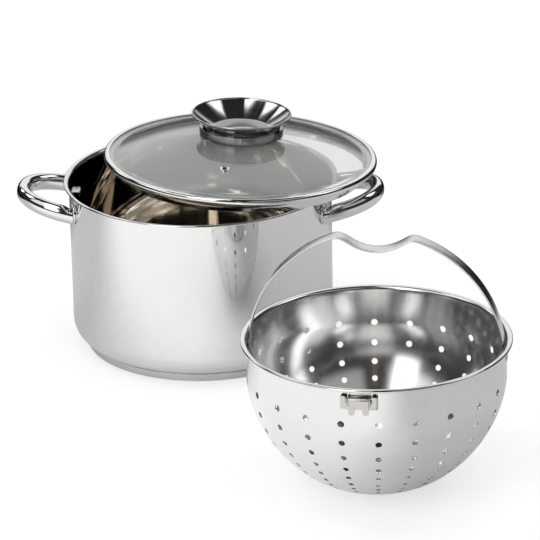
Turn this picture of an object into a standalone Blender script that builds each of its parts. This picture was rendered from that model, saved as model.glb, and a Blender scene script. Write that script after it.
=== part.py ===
"""Cooking pot with a glass lid and a lift-out strainer, in metres, +Z up.

The origin is the middle of the pot's base, on the surface that it stands on.
The front faces -Y. The lid lies askew across the pot's rim, and the strainer
stands beside the pot on its own foot, with its carrying bail upright.
"""

import math

import bmesh
import bpy
from mathutils import Matrix, Vector

# Clearances
GAP = 0.0003                     # between faces that seat on each other
PIVOT_PLAY = 0.0003              # round a rivet or pin that something turns on

# Facets
SEGMENTS = 40                    # round the pot and the lid
KNOB_SEGMENTS = 32
SMALL_SEGMENTS = 12              # round rivets, washers and screws
ARC_STEPS = 4                    # along a quarter turn

# Pot shell
POT_RADIUS = 0.1212
POT_HEIGHT = 0.1587
POT_WALL = 0.0009
POT_CORNER = 0.020
POT_YAW = math.radians(-2.5)     # the right handle's azimuth
RIM_BEND = 0.0048                # the pouring rim's outward curve

# Sandwich base
BASE_LIFT = 0.0062               # the shell's underside above the table
BASE_MARGIN = 0.0126             # from the pot's wall in to the base's side
BASE_SHEET = 0.0008
BASE_EDGE = 0.0020
CORE_MARGIN = 0.0016             # from the cap's side to the core's edge

# Side handles, bent from oval tube
HANDLE_REACH = 0.0421            # from the wall to the middle of the outer bar
HANDLE_HALF_SPAN = 0.040
HANDLE_ROOT = 0.0090             # how far inside the wall's radius the curve starts
HANDLE_ROUNDNESS = 2.2
HANDLE_BELOW_RIM = 0.0217
HANDLE_RISE = 0.0095
HANDLE_TUBE_WIDTH = 0.0130
HANDLE_TUBE_HEIGHT = 0.0160
HANDLE_STEPS = 16
HANDLE_SIDES = 10
PLATE_WIDTH = 0.0160
PLATE_HEIGHT = 0.0200
PLATE_THICKNESS = 0.0016

# Ledges inside the pot, which carry the strainer's rim
LUG_TOP_BELOW_RIM = 0.0122
LUG_WIDTH = 0.0150
LUG_OVERLAP = 0.0037             # how far a ledge reaches under the strainer's rim
LUG_LIP = 0.0040
LUG_FLANGE = 0.0080
LUG_SHEET = 0.0012

# Glass
GLASS_THICKNESS = 0.0040
GLASS_MARGIN = 0.0074            # from the band's outer edge to the glass edge
GLASS_BORDER = 0.0036            # the flat ring inside the edge
GLASS_RISE = 0.0233
GLASS_HOLE = 0.0050
GLASS_STEPS = 3

# Steel band round the glass
LID_OVERHANG = 0.0002            # past the pot's rim
LID_SHEET = 0.0007
LID_LIP = 0.0021                 # how far the lip lies over the glass edge
LID_BEAD_EDGE = 0.0016
LID_BEAD_DEPTH = 0.0062          # from the lip's top to the band's underside
LID_SKIRT_PLAY = 0.0048          # between skirt and pot wall
LID_SKIRT_DEPTH = 0.0157         # from the lip's top to the skirt's lower edge
LID_SKIRT_WALL = 0.0010
LID_SKIRT_SLANT = 0.0023

# Where the lid lies
LID_SHIFT = 0.0405
LID_SHIFT_AZIMUTH = math.radians(21.6)
LID_LEAN = math.radians(2.73)

# Steam vent
VENT_RADIUS = 0.0783
VENT_AZIMUTH = math.radians(259.3)
VENT_SLEEVE = 0.0031
VENT_BORE = 0.00215
VENT_FLANGE = 0.0050
VENT_SHEET = 0.0006

# Knob
KNOB_BASE_RADIUS = 0.0388
KNOB_BASE_TOP = 0.0300           # above the glass edge
KNOB_BASE_WALL = 0.0016
KNOB_BEVEL = 0.0010
KNOB_BOSS = 0.0080
DISH_NECK = 0.0355
DISH_RIM = 0.0456
DISH_DEPTH = 0.0095
DISH_SHEET = 0.0012
DISH_FLOOR = 0.0300
SCREW_RADIUS = 0.0020
SCREW_HEAD = 0.0042
SCREW_HEAD_HEIGHT = 0.0024
SCREW_ENGAGEMENT = 0.0050
WASHER_RADIUS = 0.0100
WASHER_SHEET = 0.0010
SEAL_RADIUS = 0.0110
SEAL_THICKNESS = 0.0012

# Strainer
STRAINER_X = 0.1515
STRAINER_Y = -0.3171
STRAINER_YAW = math.radians(-9.2)
STRAINER_PLAY = 0.0051           # round its rim when it hangs in the pot
STRAINER_CLEARANCE = 0.0112      # under its foot when it hangs in the pot
BOWL_WALL = 0.0007
BOWL_RIM_FLARE = 0.0050
BOWL_RIM_BEAD = 0.0015
BOWL_STRAIGHT = 0.0337           # from the rim down to where the wall starts to turn in
BOWL_FOOT = 0.0240
BOWL_EXPONENT = 1.77             # how full the curve is, 2 being a round one
HOLE_COLUMNS = 22
HOLE_ROWS = 8
HOLE_PITCH = 0.0185              # from the first row to the second
HOLE_PITCH_RATIO = 0.90
HOLE_DIAMETER = 0.0059
HOLE_DIAMETER_RATIO = 0.95
HOLE_SIDES = 6

# Carrying bail and its pivots
BAIL_WIDTH = 0.0145
BAIL_THICKNESS = 0.0016
PIVOT_BELOW_RIM = 0.0132
BAIL_DIP_RADIUS = 0.036
BAIL_DIP_BELOW = 0.0164          # from the arch's top to the dip's floor
BAIL_BLEND = 0.0045
BAIL_STEPS = 14                  # along half the arch
PIVOT_WASHER = 0.0009
PIVOT_WASHER_RADIUS = 0.0060
RIVET_RADIUS = 0.0022
RIVET_HEAD = 0.0045
RIVET_HEAD_HEIGHT = 0.0013

# Clip under the strainer's rim
CLIP_WIDTH = 0.0330
CLIP_HEIGHT = 0.0136
CLIP_BELOW_RIM = 0.0067
CLIP_SHEET = 0.0010
CLIP_STAND = 0.0026              # hollow between the bracket and the bowl's wall
CLIP_NOTCH_PLAY = 0.0006         # under the hook's knuckle
CLIP_EAR_HEIGHT = 0.0078
CLIP_PIN_BELOW_RIM = 0.0096
CLIP_PIN_RADIUS = 0.0009
CLIP_PIN_HEAD = 0.0015
HOOK_WIDTH = 0.0168
HOOK_SHEET = 0.0010
HOOK_LENGTH = 0.0142             # from the pin down to the tips
HOOK_LEG = 0.0051
HOOK_ARCH_RISE = 0.0101          # from the tips up to the arch
HOOK_CLEARANCE = 0.0011          # between the bracket and the blade

# Values that follow from those above
HALF_STEP = math.pi / SEGMENTS
POT_INNER = POT_RADIUS - POT_WALL
RIM_RADIUS = POT_RADIUS + RIM_BEND
POT_FLOOR = BASE_LIFT + POT_WALL
BASE_RADIUS = POT_RADIUS - BASE_MARGIN
LUG_TOP = POT_HEIGHT - LUG_TOP_BELOW_RIM
HANDLE_Z = POT_HEIGHT - HANDLE_BELOW_RIM
PLATE_FACE = POT_RADIUS + GAP + PLATE_THICKNESS
LID_RADIUS = RIM_RADIUS + LID_OVERHANG
GLASS_RADIUS = LID_RADIUS - GLASS_MARGIN
LIP_TOP = GAP + LID_SHEET
SEAT_FLOOR = -GLASS_THICKNESS - GAP
SKIRT_RADIUS = POT_INNER - LID_SKIRT_PLAY
SKIRT_BOTTOM = LIP_TOP - LID_SKIRT_DEPTH
BOWL_RIM_RADIUS = POT_INNER - STRAINER_PLAY
BOWL_RADIUS = BOWL_RIM_RADIUS - BOWL_RIM_FLARE
BOWL_HEIGHT = LUG_TOP + 2 * BOWL_RIM_BEAD - POT_FLOOR - STRAINER_CLEARANCE
BOWL_CURVE_HEIGHT = BOWL_HEIGHT - BOWL_STRAIGHT
BOWL_SEGMENTS = 2 * HOLE_COLUMNS
BOWL_HALF_STEP = math.pi / BOWL_SEGMENTS
BOWL_INNER = BOWL_RADIUS - BOWL_WALL
BOWL_NECK = BOWL_HEIGHT - BOWL_RIM_FLARE
WALL_FLAT_OUT = BOWL_RADIUS * math.cos(BOWL_HALF_STEP)
WALL_FLAT_IN = BOWL_INNER * math.cos(BOWL_HALF_STEP)
PIVOT_Z = BOWL_HEIGHT - PIVOT_BELOW_RIM
BAIL_FACE = WALL_FLAT_IN - 2 * GAP - PIVOT_WASHER
BAIL_ARCH = WALL_FLAT_IN - GAP
KNUCKLE_BORE = CLIP_PIN_RADIUS + PIVOT_PLAY
KNUCKLE_RADIUS = KNUCKLE_BORE + HOOK_SHEET
CLIP_PIN_Z = BOWL_HEIGHT - CLIP_PIN_BELOW_RIM
CLIP_FACE = BOWL_RADIUS + GAP + CLIP_STAND + CLIP_SHEET
CLIP_PIN_OUT = CLIP_FACE + HOOK_CLEARANCE + HOOK_SHEET - KNUCKLE_RADIUS
HOOK_GUM = HOOK_WIDTH / 2 + GAP


# Scene, materials and small helpers

def clear_scene():
    for item in list(bpy.data.objects):
        bpy.data.objects.remove(item, do_unlink=True)


def new_collection(name):
    collection = bpy.data.collections.new(name)
    bpy.context.scene.collection.children.link(collection)
    return collection


def new_material(name, colour, roughness, metallic, alpha=1.0):
    material = bpy.data.materials.new(name)
    material.use_nodes = True
    shader = material.node_tree.nodes["Principled BSDF"]
    shader.inputs["Base Color"].default_value = (*colour, 1.0)
    shader.inputs["Roughness"].default_value = roughness
    shader.inputs["Metallic"].default_value = metallic
    shader.inputs["Alpha"].default_value = alpha
    return material


clear_scene()
PARTS = new_collection("cooking_pot")
CUTTERS = new_collection("cutters")
POLISHED = new_material("polished_steel", (0.80, 0.80, 0.79), 0.10, 1.0)
SATIN = new_material("satin_steel", (0.62, 0.62, 0.61), 0.32, 1.0)
CORE = new_material("aluminium", (0.66, 0.67, 0.68), 0.45, 1.0)
GLASS = new_material("clear_glass", (0.86, 0.90, 0.89), 0.03, 0.0, alpha=0.35)
RUBBER = new_material("silicone", (0.05, 0.05, 0.05), 0.60, 0.0)


def new_frame(name, matrix, parent=None):
    frame = bpy.data.objects.new(name, None)
    frame.empty_display_size = 0.02
    PARTS.objects.link(frame)
    frame.parent = parent
    frame.matrix_local = matrix
    return frame


def add_mesh(name, mesh, material, frame, matrix=None):
    item = bpy.data.objects.new(name, mesh)
    PARTS.objects.link(item)
    mesh.materials.clear()
    mesh.materials.append(material)
    item.parent = frame
    item.matrix_local = matrix or Matrix.Identity(4)
    return item


def add_cutter(name, mesh, frame, matrix=None):
    item = bpy.data.objects.new(name, mesh)
    CUTTERS.objects.link(item)
    item.parent = frame
    item.matrix_local = matrix or Matrix.Identity(4)
    item.hide_render = True
    item.display_type = "WIRE"
    return item


def boolean(item, cutter, operation):
    modifier = item.modifiers.new(operation.lower(), "BOOLEAN")
    modifier.object = cutter
    modifier.operation = operation
    modifier.solver = "EXACT"


def smooth(mesh, angle=35.0):
    mesh.shade_smooth()
    mesh.set_sharp_from_angle(angle=math.radians(angle))


def along(direction, point=(0.0, 0.0, 0.0)):
    """Place a piece that was made round Z so that its Z lies along a direction."""
    turn = Vector((0.0, 0.0, 1.0)).rotation_difference(Vector(direction))
    return Matrix.Translation(point) @ turn.to_matrix().to_4x4()


def arc(centre, radius, start, end, steps=ARC_STEPS):
    """Points on an arc in a profile's plane, angles in degrees, both ends included."""
    points = []
    for step in range(steps + 1):
        angle = math.radians(start + (end - start) * step / steps)
        points.append((centre[0] + radius * math.cos(angle), centre[1] + radius * math.sin(angle)))
    return points


def offset(points, distance):
    """A profile moved to its right-hand side by an even distance, with mitred corners."""
    normals = []
    for start, end in zip(points, points[1:]):
        run = Vector((end[0] - start[0], end[1] - start[1])).normalized()
        normals.append(Vector((run.y, -run.x)))
    moved = []
    for index, point in enumerate(points):
        before = normals[max(index - 1, 0)]
        after = normals[min(index, len(normals) - 1)]
        mitre = (before + after).normalized()
        moved.append(tuple(Vector(point) + mitre * (distance / mitre.dot(after))))
    return moved


def sheet(points, thickness):
    """Closed outline of sheet metal or glass whose outer face runs through the points."""
    return offset(points, thickness)[::-1] + list(points)


def turned_mesh(name, profile, closed, segments, phase=0.0):
    """A profile of (radius, height) points turned round Z with a Screw modifier."""
    mesh = bpy.data.meshes.new(name)
    vertices = [(r * math.cos(phase), r * math.sin(phase), z) for r, z in profile]
    edges = [(index, index + 1) for index in range(len(profile) - 1)]
    if closed:
        edges.append((len(profile) - 1, 0))
    mesh.from_pydata(vertices, edges, [])
    holder = bpy.data.objects.new(name, mesh)
    CUTTERS.objects.link(holder)
    screw = holder.modifiers.new("turn", "SCREW")
    screw.steps = segments
    screw.render_steps = segments
    screw.use_merge_vertices = True
    screw.merge_threshold = 0.00001
    result = bpy.data.meshes.new_from_object(
        holder.evaluated_get(bpy.context.evaluated_depsgraph_get()))
    bpy.data.objects.remove(holder, do_unlink=True)
    result.name = name
    smooth(result)
    return result


def curve_mesh(curve):
    """A curve's evaluated solid as a welded mesh."""
    holder = bpy.data.objects.new(curve.name, curve)
    CUTTERS.objects.link(holder)
    mesh = bpy.data.meshes.new_from_object(
        holder.evaluated_get(bpy.context.evaluated_depsgraph_get()))
    bpy.data.objects.remove(holder, do_unlink=True)
    shape = bmesh.new()
    shape.from_mesh(mesh)
    bmesh.ops.remove_doubles(shape, verts=shape.verts, dist=0.00001)
    bmesh.ops.recalc_face_normals(shape, faces=shape.faces)
    shape.to_mesh(mesh)
    shape.free()
    smooth(mesh)
    return mesh


def new_spline(curve, points, cyclic):
    spline = curve.splines.new("POLY")
    spline.points.add(len(points) - 1)
    for target, point in zip(spline.points, points):
        target.co = (*point, 1.0)
    spline.use_cyclic_u = cyclic


def extruded(name, outline, thickness):
    """A flat outline of (x, y) points given a thickness, centred on its plane."""
    curve = bpy.data.curves.new(name, "CURVE")
    curve.dimensions = "2D"
    curve.fill_mode = "BOTH"
    curve.extrude = thickness / 2
    new_spline(curve, [(x, y, 0.0) for x, y in outline], True)
    return curve_mesh(curve)


def block(name, size, centre):
    """A box of the given size, as a mesh in its frame."""
    shape = bmesh.new()
    bmesh.ops.create_cube(shape, size=1.0, matrix=Matrix.Translation(centre)
                          @ Matrix.Diagonal((*size, 1.0)))
    mesh = bpy.data.meshes.new(name)
    shape.to_mesh(mesh)
    shape.free()
    return mesh


def rods(name, placements, sides):
    """Round or many-sided bars as one mesh, each a (matrix, radius, length)."""
    shape = bmesh.new()
    for matrix, radius, length in placements:
        bmesh.ops.create_cone(shape, cap_ends=True, segments=sides, radius1=radius,
                              radius2=radius, depth=length, matrix=matrix)
    mesh = bpy.data.meshes.new(name)
    shape.to_mesh(mesh)
    shape.free()
    return mesh


# Pot

def pot_outer_face():
    """The shell's outer face from the rim's edge down to the middle of the floor."""
    rim = arc((RIM_RADIUS, POT_HEIGHT - POT_WALL - RIM_BEND), RIM_BEND, 90, 180)
    corner = arc((POT_RADIUS - POT_CORNER, BASE_LIFT + POT_CORNER), POT_CORNER, 0, -90)
    return rim + corner + [(0.0, BASE_LIFT)]


def build_pot(frame):
    shell = turned_mesh("pot_shell", sheet(pot_outer_face(), POT_WALL), False, SEGMENTS, HALF_STEP)
    add_mesh("pot_shell", shell, POLISHED, frame)

    side_inset = POT_RADIUS - POT_CORNER
    rise = POT_CORNER - math.sqrt(POT_CORNER ** 2 - (BASE_RADIUS - side_inset) ** 2)
    cap_top = BASE_LIFT + rise - GAP
    edge = arc((BASE_RADIUS - BASE_EDGE, BASE_EDGE), BASE_EDGE, 0, -90, 1)
    cap_face = [(BASE_RADIUS, cap_top)] + edge + [(0.0, 0.0)]
    cap = turned_mesh("base_cap", sheet(cap_face, BASE_SHEET), False, SEGMENTS, HALF_STEP)
    add_mesh("base_cap", cap, SATIN, frame)

    core_radius = BASE_RADIUS - BASE_SHEET - CORE_MARGIN
    core_profile = [(0.0, BASE_LIFT - GAP), (core_radius, BASE_LIFT - GAP),
                    (core_radius, BASE_SHEET + GAP), (0.0, BASE_SHEET + GAP)]
    core = turned_mesh("base_core", core_profile, False, SEGMENTS, HALF_STEP)
    add_mesh("base_core", core, CORE, frame)


def handle_path():
    """The handle's centre line, a rounded loop in a plane that rises outwards."""
    start = POT_RADIUS - HANDLE_ROOT
    depth = HANDLE_ROOT + HANDLE_REACH
    power = 2.0 / HANDLE_ROUNDNESS
    points = []
    for step in range(HANDLE_STEPS + 1):
        angle = math.pi * (step / HANDLE_STEPS - 0.5)
        out = start + depth * math.cos(angle) ** power if abs(angle) < 1.57 else start
        side = math.copysign(HANDLE_HALF_SPAN * abs(math.sin(angle)) ** power, angle)
        rise = HANDLE_RISE * (out - POT_RADIUS) / HANDLE_REACH
        points.append((out, side, HANDLE_Z + rise))
    return points


def handle_mesh():
    section = bpy.data.curves.new("handle_section", "CURVE")
    section.dimensions = "2D"
    section.resolution_u = 1
    oval = []
    for step in range(HANDLE_SIDES):
        angle = 2 * math.pi * step / HANDLE_SIDES
        oval.append((HANDLE_TUBE_WIDTH / 2 * math.cos(angle),
                     HANDLE_TUBE_HEIGHT / 2 * math.sin(angle), 0.0))
    new_spline(section, oval, True)
    section_object = bpy.data.objects.new("handle_section", section)
    CUTTERS.objects.link(section_object)

    curve = bpy.data.curves.new("handle", "CURVE")
    curve.dimensions = "3D"
    curve.twist_mode = "Z_UP"
    curve.bevel_mode = "OBJECT"
    curve.bevel_object = section_object
    curve.use_fill_caps = True
    new_spline(curve, handle_path(), False)
    mesh = curve_mesh(curve)
    bpy.data.objects.remove(section_object, do_unlink=True)
    return mesh


def plate_band_mesh():
    """A ring on the pot's wall, as thick as the handles' end plates."""
    low = HANDLE_Z - PLATE_HEIGHT
    high = HANDLE_Z + PLATE_HEIGHT
    inner = POT_RADIUS + GAP
    ring = [(inner, high), (PLATE_FACE, high), (PLATE_FACE, low), (inner, low)]
    return turned_mesh("plate_band", ring, True, SEGMENTS, HALF_STEP)


def build_handles(frame):
    loop = handle_mesh()
    wall_radius = PLATE_FACE + GAP
    wall_mesh = rods("handle_end_cut", [(Matrix.Translation((0, 0, HANDLE_Z))
                     @ Matrix.Rotation(HALF_STEP, 4, "Z"), wall_radius, POT_HEIGHT)], SEGMENTS)
    wall = add_cutter("handle_end_cut", wall_mesh, frame)
    band = add_cutter("plate_band", plate_band_mesh(), frame)
    plate_angle = math.asin(HANDLE_HALF_SPAN / PLATE_FACE)
    for side, turn in (("right", 0.0), ("left", math.pi)):
        facing = Matrix.Rotation(turn, 4, "Z")
        handle = add_mesh(f"handle_{side}", loop.copy(), POLISHED, frame, facing)
        boolean(handle, wall, "DIFFERENCE")
        front = -1.0 if side == "right" else 1.0
        for end, sign in (("front", front), ("rear", -front)):
            azimuth = turn + sign * plate_angle
            out = Vector((math.cos(azimuth), math.sin(azimuth), 0.0))
            oval = along(out, out * PLATE_FACE + Vector((0, 0, HANDLE_Z)))
            # after the turn to face outwards, the oval's X is upright and its Y lies flat
            stretch = Matrix.Diagonal((PLATE_HEIGHT / 2, PLATE_WIDTH / 2, 1.0, 1.0))
            upright = Matrix.Rotation(plate_twist(oval), 4, "Z")
            name = f"handle_plate_{side}_{end}"
            blank = rods(name, [(oval @ upright @ stretch, 1.0, PLATE_HEIGHT)], SMALL_SEGMENTS)
            plate = add_mesh(name, blank, POLISHED, frame)
            boolean(plate, band, "INTERSECT")


def plate_twist(oval):
    """The turn about the oval's own axis that brings its X upright."""
    local_up = oval.to_3x3().inverted() @ Vector((0.0, 0.0, 1.0))
    return math.atan2(local_up.y, local_up.x)


def build_lugs(frame):
    """Folded ledges: a flange on the wall, a shelf and a turned-down lip."""
    flat = POT_INNER * math.cos(HALF_STEP) - GAP
    reach = BOWL_RIM_RADIUS - LUG_OVERLAP
    under = LUG_TOP - LUG_SHEET
    flange = LUG_TOP - LUG_FLANGE
    lip = LUG_TOP - LUG_LIP
    outline = [(flat, LUG_TOP), (flat, flange), (flat - LUG_SHEET, flange),
               (flat - LUG_SHEET, under), (reach + LUG_SHEET, under),
               (reach + LUG_SHEET, lip), (reach, lip), (reach, LUG_TOP)]
    upright = Matrix.Rotation(math.pi / 2, 4, "X")
    mesh = extruded("inner_lug", outline, LUG_WIDTH)
    for side, turn in (("right", 0.0), ("left", math.pi)):
        facing = Matrix.Rotation(turn, 4, "Z") @ upright
        add_mesh(f"inner_lug_{side}", mesh.copy(), SATIN, frame, facing)


# Lid, with height 0 at the top of the glass's flat border

def glass_sphere():
    """Radius of the dome, from its rise over the width inside the flat border."""
    half = GLASS_RADIUS - GLASS_BORDER
    return (half ** 2 + GLASS_RISE ** 2) / (2 * GLASS_RISE)


def glass_top(radius):
    sphere = glass_sphere()
    return GLASS_RISE - sphere + math.sqrt(sphere ** 2 - radius ** 2)


def build_glass(frame):
    half = GLASS_RADIUS - GLASS_BORDER
    top = []
    for step in range(GLASS_STEPS + 1):
        radius = GLASS_HOLE + (half - GLASS_HOLE) * step / GLASS_STEPS
        top.append((radius, glass_top(radius)))
    top.append((GLASS_RADIUS, 0.0))
    under = [(min(r, GLASS_RADIUS), z) for r, z in offset(top, GLASS_THICKNESS)]
    under[0] = (GLASS_HOLE, glass_top(GLASS_HOLE) - GLASS_THICKNESS)
    profile = top + under[::-1]
    glass = add_mesh("lid_glass", turned_mesh("lid_glass", profile, True, SEGMENTS), GLASS, frame)
    through = 4 * GLASS_THICKNESS
    hole = rods("vent_hole", [(vent_matrix(), VENT_SLEEVE + GAP, through)], SMALL_SEGMENTS)
    boolean(glass, add_cutter("vent_hole", hole, frame), "DIFFERENCE")


def build_lid_band(frame):
    seat = GLASS_RADIUS + GAP
    under = LIP_TOP - LID_BEAD_DEPTH
    low = SKIRT_BOTTOM
    skirt_top = SKIRT_RADIUS + LID_SKIRT_SLANT
    profile = [
        (GLASS_RADIUS - LID_LIP, LIP_TOP),
        (LID_RADIUS - 2 * LID_BEAD_EDGE, LIP_TOP),
        (LID_RADIUS, LIP_TOP - 1.5 * LID_BEAD_EDGE),
        (LID_RADIUS, under + LID_BEAD_EDGE),
        (LID_RADIUS - LID_BEAD_EDGE, under),
        (skirt_top + LID_SKIRT_WALL, under - LID_SHEET / 2),
        (skirt_top, (under + low) / 2),
        (SKIRT_RADIUS, low + LID_SKIRT_WALL / 2),
        (SKIRT_RADIUS - LID_SKIRT_WALL / 2, low),
        (SKIRT_RADIUS - LID_SKIRT_WALL, low + LID_SKIRT_WALL / 2),
        (skirt_top - LID_SKIRT_WALL, (under + low) / 2),
        (skirt_top - LID_SKIRT_WALL / 2, SEAT_FLOOR),
        (seat, SEAT_FLOOR),
        (seat, GAP),
        (GLASS_RADIUS - LID_LIP, GAP),
    ]
    band = turned_mesh("lid_rim", profile, True, SEGMENTS)
    add_mesh("lid_rim", band, POLISHED, frame)


def vent_matrix():
    """The vent's place, square to the dome, with height 0 on the glass."""
    tilt = VENT_RADIUS / glass_sphere()
    flat = Vector((math.cos(VENT_AZIMUTH), math.sin(VENT_AZIMUTH), 0.0))
    normal = flat * tilt + Vector((0.0, 0.0, math.sqrt(1 - tilt ** 2)))
    return along(normal, flat * VENT_RADIUS + Vector((0.0, 0.0, glass_top(VENT_RADIUS))))


def build_vent(frame):
    """A tubular rivet through the glass, its ends rolled into flanges."""
    lift = GAP + VENT_FLANGE ** 2 / (2 * glass_sphere())
    top = lift + VENT_SHEET
    low = -GLASS_THICKNESS - 2 * GAP
    rolled = VENT_FLANGE - VENT_SHEET
    profile = [(VENT_BORE, top), (rolled, top), (VENT_FLANGE, top - VENT_SHEET / 2),
               (VENT_FLANGE, lift), (VENT_SLEEVE, lift), (VENT_SLEEVE, low),
               (VENT_FLANGE, low), (VENT_FLANGE, low - VENT_SHEET / 2),
               (rolled, low - VENT_SHEET), (VENT_BORE, low - VENT_SHEET)]
    eyelet = turned_mesh("vent_eyelet", profile, True, SMALL_SEGMENTS)
    add_mesh("vent_eyelet", eyelet, POLISHED, frame, vent_matrix())


def build_knob(frame):
    bore = SCREW_RADIUS + GAP
    inner = KNOB_BASE_RADIUS - KNOB_BASE_WALL
    foot = glass_top(inner) + GAP
    crown = glass_top(GLASS_HOLE) + GAP
    roof = KNOB_BASE_TOP - KNOB_BASE_WALL
    base = [(bore, KNOB_BASE_TOP), (KNOB_BASE_RADIUS - 2 * KNOB_BEVEL, KNOB_BASE_TOP),
            (KNOB_BASE_RADIUS, KNOB_BASE_TOP - KNOB_BEVEL), (KNOB_BASE_RADIUS, foot),
            (inner, foot), (inner, roof), (KNOB_BOSS, roof), (KNOB_BOSS, crown), (bore, crown)]
    add_mesh("knob_base", turned_mesh("knob_base", base, True, KNOB_SEGMENTS), SATIN, frame)

    low = KNOB_BASE_TOP + GAP
    bend = DISH_NECK - DISH_FLOOR
    flare = [(DISH_RIM, low + DISH_DEPTH), (DISH_RIM - bend / 2, low + 0.7 * DISH_DEPTH),
             (DISH_NECK, low + DISH_SHEET), (DISH_NECK - DISH_SHEET / 2, low), (0.0, low)]
    dish = turned_mesh("knob_dish", sheet(flare, DISH_SHEET), False, KNOB_SEGMENTS)
    add_mesh("knob_dish", dish, SATIN, frame)

    under_glass = glass_top(GLASS_HOLE) - GLASS_THICKNESS - 2 * GAP
    seal_low = under_glass - SEAL_THICKNESS
    washer_top = seal_low - GAP
    washer_low = washer_top - WASHER_SHEET
    add_mesh("knob_seal", ring_mesh("knob_seal", bore, SEAL_RADIUS, under_glass - GAP, seal_low),
             RUBBER, frame)
    add_mesh("knob_washer", ring_mesh("knob_washer", bore, WASHER_RADIUS, washer_top, washer_low),
             SATIN, frame)
    head_top = washer_low - GAP
    head_low = head_top - SCREW_HEAD_HEIGHT
    tip = crown + SCREW_ENGAGEMENT
    screw = [(0.0, tip), (SCREW_RADIUS, tip), (SCREW_RADIUS, head_top), (SCREW_HEAD, head_top),
             (SCREW_HEAD, head_low + SCREW_HEAD_HEIGHT / 3),
             (SCREW_HEAD * 0.7, head_low), (0.0, head_low)]
    add_mesh("knob_screw", turned_mesh("knob_screw", screw, False, SMALL_SEGMENTS), SATIN, frame)


def ring_mesh(name, bore, radius, top, low):
    ring = [(bore, top), (radius, top), (radius, low), (bore, low)]
    return turned_mesh(name, ring, True, SMALL_SEGMENTS)


def lid_matrix():
    """The lid pushed to one side and leaning, its skirt's lower edge on the pot's rim."""
    rim = RIM_RADIUS - RIM_BEND / 3
    meeting = (rim ** 2 - SKIRT_RADIUS ** 2 + LID_SHIFT ** 2) / (2 * LID_SHIFT)
    height = (POT_HEIGHT + GAP - SKIRT_BOTTOM * math.cos(LID_LEAN)
              + (meeting - LID_SHIFT) * math.sin(LID_LEAN))
    to_shift = Matrix.Rotation(LID_SHIFT_AZIMUTH, 4, "Z")
    place = Matrix.Translation((LID_SHIFT, 0.0, height))
    return to_shift @ place @ Matrix.Rotation(LID_LEAN, 4, "Y") @ to_shift.inverted()


# Strainer

def bowl_curve():
    """Outer curve of the bowl from the straight wall to the foot, closely spaced."""
    power = 2.0 / BOWL_EXPONENT
    points = []
    for step in range(401):
        angle = math.pi / 2 * step / 400
        across = max(math.cos(angle), 0.0) ** power
        down = math.sin(angle) ** power
        points.append(Vector((BOWL_FOOT + (BOWL_RADIUS - BOWL_FOOT) * across,
                              BOWL_CURVE_HEIGHT * (1.0 - down))))
    return points


def along_curve(curve, distance):
    """Point and outward normal at a distance along the curve, or above it if negative."""
    if distance <= 0.0:
        return Vector((BOWL_RADIUS, BOWL_CURVE_HEIGHT - distance)), Vector((1.0, 0.0))
    left = distance
    for start, end in zip(curve, curve[1:]):
        run = end - start
        if left <= run.length:
            break
        left -= run.length
    run = run.normalized()
    return start + run * left, Vector((-run.y, run.x))


def hole_distances():
    """Distances of the hole rows along the curve, closer together towards the foot."""
    distances = []
    distance = 0.0
    pitch = HOLE_PITCH
    for _ in range(HOLE_ROWS):
        distances.append(distance)
        distance += pitch
        pitch *= HOLE_PITCH_RATIO
    return distances


def bowl_outer_face():
    """Rings midway between hole rows, then the flat foot."""
    rows = hole_distances()
    curve = bowl_curve()
    first = -(rows[1] - rows[0]) / 2
    last = rows[-1] + (rows[-1] - rows[-2]) / 2
    breaks = [first] + [(a + b) / 2 for a, b in zip(rows, rows[1:])] + [last]
    face = [(BOWL_RADIUS, BOWL_NECK)]
    for distance in breaks:
        point, _ = along_curve(curve, distance)
        face.append(tuple(point))
    length = sum((b - a).length for a, b in zip(curve, curve[1:]))
    point, _ = along_curve(curve, (last + length) / 2)
    face.append(tuple(point))
    return face + [(BOWL_FOOT, 0.0), (0.0, 0.0)]


def bowl_rim():
    """The rolled rim from the inner wall over the bead to the outer wall."""
    bead_centre = (BOWL_RIM_RADIUS - BOWL_RIM_BEAD, BOWL_HEIGHT - BOWL_RIM_BEAD)
    return arc(bead_centre, BOWL_RIM_BEAD, 110, -90, 4)


def hole_placements():
    """Cutting bars for the perforations, square to the bowl's wall."""
    curve = bowl_curve()
    placements = []
    diameter = HOLE_DIAMETER
    for distance in hole_distances():
        point, normal = along_curve(curve, distance)
        for column in range(HOLE_COLUMNS):
            azimuth = 2 * math.pi * column / HOLE_COLUMNS
            turn = Matrix.Rotation(azimuth, 4, "Z")
            place = along((normal.x, 0.0, normal.y), (point.x, 0.0, point.y))
            placements.append((turn @ place, diameter / 2, 12 * BOWL_WALL))
        diameter *= HOLE_DIAMETER_RATIO
    return placements


def build_bowl(frame):
    face = bowl_outer_face()
    profile = offset(face, BOWL_WALL)[::-1] + bowl_rim() + face
    mesh = turned_mesh("strainer_bowl", profile, False, BOWL_SEGMENTS, BOWL_HALF_STEP)
    bowl = add_mesh("strainer_bowl", mesh, POLISHED, frame)
    holes = rods("perforations", hole_placements(), HOLE_SIDES)
    boolean(bowl, add_cutter("perforations", holes, frame), "DIFFERENCE")
    across = Matrix.Translation((0, 0, PIVOT_Z)) @ Matrix.Rotation(math.pi / 2, 4, "Y")
    pivots = rods("pivot_holes", [(across, RIVET_RADIUS + PIVOT_PLAY, 3 * BOWL_RADIUS)],
                  SMALL_SEGMENTS)
    boolean(bowl, add_cutter("pivot_holes", pivots, frame), "DIFFERENCE")


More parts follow.
